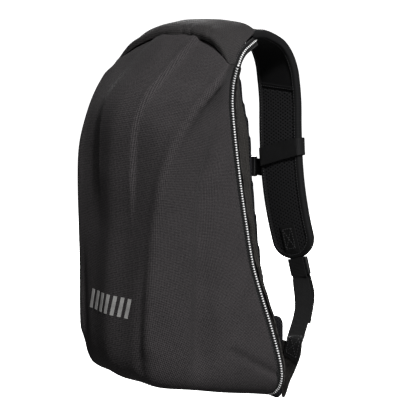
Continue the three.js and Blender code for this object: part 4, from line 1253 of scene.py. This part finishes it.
# The hem of the plain cloth over the mesh, and the rows of stitches
seam_half = strap_half(np.array([CROSS_SEAM_AT]))[0] - HEM_INSET
hem = flat_strip("strap_hem_right", CROSS_SEAM_AT - HEM_LENGTH, CROSS_SEAM_AT, 20, 4, seam_half)
map_flat(hem)
places = places_of(hem)
places[:, 1] += CROSS_SEAM_LEAN * places[:, 0]
place_vertices(hem, places)
lay_on(hem, strap_flat, (0, 0, 1.0))
finish_with(hem, "SOLIDIFY", thickness=HEM_WALL, offset=0)
finish_with(hem, "BEVEL", width=0.5 * MM, segments=2, limit_method="ANGLE")
bpy.ops.object.shade_smooth()
strap_course.bend(hem)
dress(hem, strap_cloth)
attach(hem, "root")
other_side(hem, "strap_hem_left")
binding_line = strap_outline(BINDING_ROW)
strap_rows = [(np.column_stack([binding_line, np.full(len(binding_line), side * BINDING_FACE)]), (0, 0, side))
              for side in (-1, 1)]
seam_across = np.linspace(-seam_half, seam_half, 40)
seam_row = CROSS_SEAM_AT - HEM_LENGTH / 2 + CROSS_SEAM_LEAN * seam_across
strap_rows.append((np.column_stack([seam_across, seam_row, np.full(40, HEM_FACE)]), (0, 0, -1)))
strap_stitches = strap_course.bend(sew("strap_stitches_right", strap_rows))
other_side(strap_stitches, "strap_stitches_left")


# Lower webbing
# Woven polyester webbing, 25 mm wide. One piece is sewn inside each strap's tip and holds its ladder
# lock, and another runs from the wing up through the lock and hangs down again as a loose tail.
WEB_HALF_WIDTH = 12.5 * MM
WEB_WALL = 1.5 * MM
WEB_RIB = 2.0 * MM
WEB_RIB_RISE = 0.16 * MM
WEB_COLOURS = ("#0d0d0e", "#232323")
ANCHOR_LENGTH = 46 * MM
ANCHOR_END = 7 * MM
BOX_HALF = 8 * MM
BOX_LENGTH = 27 * MM
ANCHOR_SINK = 0.5 * MM
ANCHOR_BOX_AT = 5 * MM
ANCHOR_BOX_FACE = -8.6 * MM
WEB_BOX_HALF = 9 * MM
WEB_BOX_AT = 33 * MM
WEB_BOX_FACE = -1.2 * MM
FOLD_LENGTH = 14 * MM
FOLD_GAP = 0.1 * MM
FOLD_FACE = -2.4 * MM
FOLD_ROWS = (4 * MM, 11 * MM)
FOLD_ROW_HALF = 11 * MM


def webbing(name, start, end, half_width, wall=WEB_WALL, closed=False):
    """Flat webbing with ribs across it, from start to end along Y."""
    steps = max(8, round((end - start) / (WEB_RIB / 4)))
    piece = flat_strip(name, start, end, 8, steps, half_width)
    places = places_of(piece)
    places[:, 2] = WEB_RIB_RISE * np.cos(2 * math.pi * (places[:, 1] - start) / WEB_RIB)
    places[:, 2] *= 1 - smooth_step(np.abs(places[:, 0]), 0.86 * half_width, half_width)
    place_vertices(piece, places)
    map_flat(piece)
    if not closed:
        thicken_webbing(piece, wall)
    return piece


def thicken_webbing(piece, wall=WEB_WALL):
    finish_with(piece, "SOLIDIFY", thickness=wall, offset=0)
    bpy.ops.object.shade_smooth_by_angle(angle=math.radians(55))
    dress(piece, web_weave)
    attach(piece, "root")


def box_stitch(start, length, half, height, out):
    """A sewn box with a cross in it, as rows for sew."""
    a, b, c, d = [(-half, start), (half, start), (half, start + length), (-half, start + length)]
    lines = [[a, b, c, d, a], [a, c], [b, d]]
    return [([(x, y, height) for x, y in line], out) for line in lines]


web_weave = ribbed_tape("polyester_webbing", WEB_COLOURS, WEB_RIB, depth=0.2 * MM)
anchor = webbing("strap_anchor_web_right", strap_length - ANCHOR_LENGTH, strap_length - ANCHOR_END,
                 WEB_HALF_WIDTH)
lay_on(anchor, strap_flat, (0, 0, 1.0))
place_vertices(anchor, places_of(anchor) - [0, 0, ANCHOR_SINK])
strap_course.bend(anchor)
other_side(anchor, "strap_anchor_web_left")
box = sew("anchor_stitches_right", box_stitch(strap_length - ANCHOR_LENGTH + ANCHOR_BOX_AT, BOX_LENGTH,
                                              BOX_HALF, ANCHOR_BOX_FACE, (0, 0, -1)))
strap_course.bend(box)
other_side(box, "anchor_stitches_left")


def top_cap(place, normal):
    """Whether a face closes the upper end of a web."""
    return normal.z > 0.9 and place.z > -0.3


web_course = read_course("lower_web_right", (1.0, 0, 0), top_cap)
lower_web = web_course.bend(webbing("lower_web_cloth_right", 0, web_course.length, WEB_HALF_WIDTH))
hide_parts("lower_web_right")
other_side(lower_web, "lower_web_cloth_left", "lower_web_left")
web_box = sew("web_stitches_right", box_stitch(web_course.length - WEB_BOX_AT, BOX_LENGTH, WEB_BOX_HALF,
                                               WEB_BOX_FACE, (0, 0, -1)))
web_course.bend(web_box)
other_side(web_box, "web_stitches_left")

tail_course = read_course("web_tail_right", (1.0, 0, 0), top_cap)
tail = tail_course.bend(webbing("web_tail_cloth_right", 0, tail_course.length, WEB_HALF_WIDTH))
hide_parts("web_tail_right")
other_side(tail, "web_tail_cloth_left", "web_tail_left")

# The tail's end is folded over and sewn down in two rows
fold = webbing("web_tail_fold_right", tail_course.length - FOLD_LENGTH, tail_course.length, WEB_HALF_WIDTH)
place_vertices(fold, places_of(fold) - [0, 0, WEB_WALL + FOLD_GAP])
tail_course.bend(fold)
other_side(fold, "web_tail_fold_left")
tail_rows = [([(side * FOLD_ROW_HALF, tail_course.length - back, FOLD_FACE) for side in (-1, 1)], (0, 0, -1))
             for back in FOLD_ROWS]
tail_stitches = tail_course.bend(sew("tail_stitches_right", tail_rows))
other_side(tail_stitches, "tail_stitches_left")


# Ladder locks
# Moulded acetal adjusters. The lower webbing runs up behind the middle bar, over it and down in front,
# and the top bar is held by the webbing sewn inside the strap.
LOCK_WIDTH = 34 * MM
LOCK_HEIGHT = 24 * MM
LOCK_THICKNESS = 5 * MM
LOCK_BAR = 4 * MM
LOCK_SLOT = 3.4 * MM
LOCK_SLOT_PLACE = 5 * MM
LOCK_GAP = 0.3 * MM
LOCK_ROUNDING = 1.4 * MM
HOLLOW_HALF = 3.4 * MM
HOLLOW_FROM = 1.7 * MM
TOOTH_COUNT = 7
TOOTH_PITCH = 3.5 * MM
TOOTH_WIDTH = 1.4 * MM
TOOTH_HALF_LENGTH = 2.2 * MM
TOOTH_REACH = 2.1 * MM
LIP_HALF = 9 * MM
LIP_BACK = 3.2 * MM
LIP_FRONT = 0.6 * MM
LIP_RISE = 4.2 * MM
LIP_ROUNDING = 0.8 * MM
CUT_THROUGH = 10 * MM
ACETAL_COLOURS = ("#0c0c0d", "#1d1d1e")
ACETAL_GRAIN = 0.05 * MM


def block(name, low, high, rounding=0.0, steps=3):
    """A block between two corners, with all its edges rounded."""
    low, high = Vector(low), Vector(high)
    bpy.ops.object.select_all(action="DESELECT")
    bpy.ops.mesh.primitive_cube_add(size=1, location=(low + high) / 2)
    piece = bpy.context.object
    piece.name = name
    piece.scale = high - low
    bpy.ops.object.transform_apply(location=True, rotation=False, scale=True)
    if rounding:
        finish_with(piece, "BEVEL", width=rounding, segments=steps, limit_method="NONE")
    return piece


def cut_out(piece, cutter):
    finish_with(piece, "BOOLEAN", object=cutter, operation="DIFFERENCE", solver="EXACT")
    bpy.data.objects.remove(cutter)


def join_to(piece, *others):
    only(piece)
    for other in others:
        finish_with(piece, "BOOLEAN", object=other, operation="UNION", solver="EXACT")
        bpy.data.objects.remove(other)


def mould(piece):
    finish_with(piece, "BEVEL", width=0.25 * MM, segments=2, limit_method="ANGLE",
                angle_limit=math.radians(50))
    bpy.ops.object.shade_smooth_by_angle(angle=math.radians(35))
    dress(piece, acetal)
    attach(piece, "root")
    return piece


# Moulded acetal: a faint spark-eroded grain from the tool, low gloss, polished in patches by handling
acetal, acetal_tree, acetal_shader = new_material("moulded_acetal", Roughness=0.38, Specular_IOR_Level=0.5)
acetal_place = add_node(acetal_tree, "ShaderNodeTexCoord").outputs["Object"]
scuffs = noise(acetal_tree, acetal_place, 120.0, 4.0)
colour_by(acetal_tree, acetal_shader, scuffs, ACETAL_COLOURS)
acetal_tree.links.new(remap(acetal_tree, scuffs, 0.3, 0.7, 0.30, 0.50), acetal_shader.inputs["Roughness"])
emboss(acetal_tree, acetal_shader, noise(acetal_tree, acetal_place, 1400.0, 2.0), ACETAL_GRAIN, 0.5)

lock_start = strap_length + LOCK_GAP
lock_end = lock_start + LOCK_HEIGHT
lock_middle = lock_start + LOCK_HEIGHT / 2
lock = block("ladder_lock_body_right", (-LOCK_WIDTH / 2, lock_start, -LOCK_THICKNESS / 2),
             (LOCK_WIDTH / 2, lock_end, LOCK_THICKNESS / 2), LOCK_ROUNDING)
opening = LOCK_WIDTH / 2 - LOCK_BAR
for side in (-1, 1):
    middle = lock_middle + side * LOCK_SLOT_PLACE
    cut_out(lock, block("slot", (-opening, middle - LOCK_SLOT / 2, -2 * CUT_THROUGH),
                        (opening, middle + LOCK_SLOT / 2, 2 * CUT_THROUGH)))
    cut_out(lock, block("hollow", (-opening, lock_middle - HOLLOW_HALF, side * HOLLOW_FROM),
                        (opening, lock_middle + HOLLOW_HALF, side * 8 * MM)))
first_tooth = -((TOOTH_COUNT - 1) * TOOTH_PITCH + TOOTH_WIDTH) / 2
for tooth in range(TOOTH_COUNT):
    left = first_tooth + tooth * TOOTH_PITCH
    join_to(lock, block("tooth", (left, lock_middle - TOOTH_HALF_LENGTH, -TOOTH_REACH),
                        (left + TOOTH_WIDTH, lock_middle + TOOTH_HALF_LENGTH, TOOTH_REACH)))
join_to(lock, block("thumb_lip", (-LIP_HALF, lock_end - LIP_BACK, 0),
                    (LIP_HALF, lock_end - LIP_FRONT, LIP_RISE), LIP_ROUNDING))
mould(lock)
strap_course.bend(lock)
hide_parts("ladder_lock_right")
lock_left = other_side(lock, "ladder_lock_body_left", "ladder_lock_left")


# Sternum strap
# A webbing loop round each shoulder strap, sewn so that it can slide, with a web, a slider and half of a
# side-release buckle on the wearer's chest side. The buckle stays fastened.
LOOP_HALF_WIDTH = 11.8 * MM
LOOP_INNER_HALF = 35.0 * MM
LOOP_OUTER_HALF = 38.0 * MM
LOOP_HALF_THICKNESS = 7.9 * MM
LOOP_CORNER = 6.0 * MM
SLIDER_ROUNDING = 1.1 * MM
SLIDER_WAY = 1.3 * MM
SLIDER_WAY_HALF = 12.2 * MM
SLIDER_SLOTS = (1.5 * MM, 5.3 * MM)
SLIDER_SLOT = 2.2 * MM
SLIDER_SLOT_HALF = 11.2 * MM
BUCKLE_SPLIT = 4.0 * MM
BUCKLE_SIDE = 12.6 * MM
WEB_SLOT_HALF = 12.4 * MM
THROAT_HALF_DEPTH = 2.7 * MM

# The loop's course round the pad: four rounded corners, with three more points along each face
turns = np.linspace(0, math.pi / 2, 7)
loop_points = []
for sx, sz, first in ((1, 1, 0), (-1, 1, 1), (-1, -1, 2), (1, -1, 3)):
    reach = (LOOP_OUTER_HALF if sx > 0 else LOOP_INNER_HALF) - LOOP_CORNER
    for turn in turns + first * math.pi / 2:
        x = sx * reach + LOOP_CORNER * math.cos(turn)
        z = sz * (LOOP_HALF_THICKNESS - LOOP_CORNER) + LOOP_CORNER * math.sin(turn)
        loop_points.append((x, STERNUM_AT + STERNUM_LEAN * x, z))
    if first in (0, 2):
        for share in (0.25, 0.5, 0.75):
            x = sx * reach * (1 - 2 * share)
            loop_points.append((x, STERNUM_AT + STERNUM_LEAN * x, sz * LOOP_HALF_THICKNESS))
loop_points.append(loop_points[0])
loop_course = Course(loop_points, [(0, 1.0, 0)] * len(loop_points))
loop = webbing("sternum_loop_web_right", 0, loop_course.length, LOOP_HALF_WIDTH, closed=True)
loop_course.bend(loop)
merge_seam(loop)
thicken_webbing(loop)
strap_course.bend(loop)
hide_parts("sternum_loop_right")
other_side(loop, "sternum_loop_web_left", "sternum_loop_left")

web_low, web_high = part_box("sternum_web_right")
chest_y, chest_z = (web_low.y + web_high.y) / 2, (web_low.z + web_high.z) / 2
chest_points = [(x, chest_y, chest_z) for x in (web_high.x + 1 * MM, 27 * MM, 15 * MM)]
chest_course = Course(chest_points, [(0, 0, 1.0)] * len(chest_points))
chest_web = chest_course.bend(webbing("sternum_web_cloth_right", 0, chest_course.length, LOOP_HALF_WIDTH))
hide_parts("sternum_web_right")
other_side(chest_web, "sternum_web_cloth_left", "sternum_web_left")

slide_low, slide_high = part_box("sternum_slider_right")
slider = block("sternum_slider_body_right", slide_low, slide_high, SLIDER_ROUNDING)
cut_out(slider, block("web_way", (slide_low.x - CUT_THROUGH, chest_y - SLIDER_WAY, chest_z - SLIDER_WAY_HALF),
                      (slide_high.x + CUT_THROUGH, chest_y + SLIDER_WAY, chest_z + SLIDER_WAY_HALF)))
for left in SLIDER_SLOTS:
    cut_out(slider, block("slot", (slide_low.x + left, chest_y, chest_z - SLIDER_SLOT_HALF),
                          (slide_low.x + left + SLIDER_SLOT, chest_y + 2 * CUT_THROUGH,
                           chest_z + SLIDER_SLOT_HALF)))
mould(slider)
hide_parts("sternum_slider_right")
other_side(slider, "sternum_slider_body_left", "sternum_slider_left")

clip_low, clip_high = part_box("sternum_buckle")
clip_y, clip_z = (clip_low.y + clip_high.y) / 2, (clip_low.z + clip_high.z) / 2
half_y, half_z = (clip_high.y - clip_low.y) / 2, (clip_high.z - clip_low.z) / 2


def in_clip(name, left, right, half_deep, half_high, up=0.0, rounding=0.0, steps=3):
    """A block centred on the buckle's line, between two places across and above the line by up."""
    return block(name, (left, clip_y - half_deep, clip_z + up - half_high),
                 (right, clip_y + half_deep, clip_z + up + half_high), rounding, steps)


socket = in_clip("buckle_socket", clip_low.x, BUCKLE_SPLIT, half_y, half_z, rounding=2.4 * MM, steps=4)
cut_out(socket, in_clip("web_slot", clip_low.x + 3.2 * MM, clip_low.x + 6.6 * MM, half_y + CUT_THROUGH,
                        WEB_SLOT_HALF))
cut_out(socket, in_clip("throat", -9 * MM, BUCKLE_SPLIT + CUT_THROUGH, THROAT_HALF_DEPTH, BUCKLE_SIDE))
for side in (-1, 1):
    cut_out(socket, in_clip("window", -8 * MM, 1 * MM, THROAT_HALF_DEPTH, 4.6 * MM, side * half_z, 1.0 * MM))
mould(socket)
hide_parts("sternum_buckle")
plug = in_clip("buckle_plug", BUCKLE_SPLIT + 0.6 * MM, clip_high.x, 3.6 * MM, half_z - 0.8 * MM,
               rounding=1.8 * MM)
cut_out(plug, in_clip("web_slot", clip_high.x - 6.4 * MM, clip_high.x - 3.0 * MM, half_y + CUT_THROUGH,
                      WEB_SLOT_HALF))
prong_end = BUCKLE_SPLIT + 3 * MM
for side in (-1, 1):
    join_to(plug, in_clip("prong", -7.4 * MM, prong_end, 2.2 * MM, 2.3 * MM, side * BUCKLE_SIDE, 0.9 * MM))
join_to(plug, in_clip("guide", -6 * MM, prong_end, 1.8 * MM, 1.6 * MM, rounding=0.6 * MM))
mould(plug)


# Wings
# A folded triangle of the gusset cloth is sewn into each side of the lumbar pad. It spreads the pull of
# the lower webbing, whose end is sewn to it.
WING_WALL = 3.0 * MM
WING_PUFF = 1.0 * MM
WING_ROOT_TUCK = 2.0 * MM
WING_WAVE_LENGTH = 32 * MM
WING_ROW = 3 * MM
WING_ROW_FROM = 5
# The wing's outer edge: how far it reaches at each height above its foot, in millimetres
WING_EDGE = [
    {"up": 0, "reach": 1.5},
    {"up": 30, "reach": 13.5},
    {"up": 56, "reach": 25.5},
    {"up": 66, "reach": 28.5},
    {"up": 79, "reach": 30.0},
]

wing_low, wing_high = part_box("anchor_tab_right")
wing = flat_strip("wing_cloth_right", 0, wing_high.z - wing_low.z + 1 * MM, 12, 30)
places = places_of(wing)
reach = read_edge(WING_EDGE, "up", "reach", places[:, 1])
share = (places[:, 0] + 1) / 2
x = wing_low.x - WING_ROOT_TUCK + share * (reach + WING_ROOT_TUCK)
puff = WING_PUFF * np.sin(math.pi * np.clip(share, 0, 1))
puff *= np.sin(2 * math.pi * places[:, 1] / WING_WAVE_LENGTH)
y = (wing_low.y + wing_high.y) / 2 + puff
place_vertices(wing, np.column_stack([x, y, wing_low.z + places[:, 1]]))
bpy.ops.object.mode_set(mode="EDIT")
bpy.ops.mesh.select_all(action="SELECT")
bpy.ops.mesh.flip_normals()
bpy.ops.object.mode_set(mode="OBJECT")
map_flat(wing, along=2, over=1)
finish_with(wing, "SOLIDIFY", thickness=WING_WALL, offset=0)
finish_with(wing, "BEVEL", width=0.9 * MM, segments=2, limit_method="ANGLE")
bpy.ops.object.shade_smooth()
wing_cloth = woven_cloth("wing_polyester", GUSSET_COLOURS, YARN_PITCH)
dress(wing, wing_cloth)
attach(wing, "root")
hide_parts("anchor_tab_right")
wing_left = other_side(wing, "wing_cloth_left", "anchor_tab_left")
wing_line = [(wing_low.x + row["reach"] * MM - WING_ROW, 0, wing_low.z + row["up"] * MM)
             for row in WING_EDGE if row["up"] > WING_ROW_FROM]
wing_stitches = sew("wing_stitches_right", [(wing_line, (0, -1.0, 0))])
lay_on(wing_stitches, tree_of(wing), (0, 1.0, 0))
other_side(wing_stitches, "wing_stitches_left")
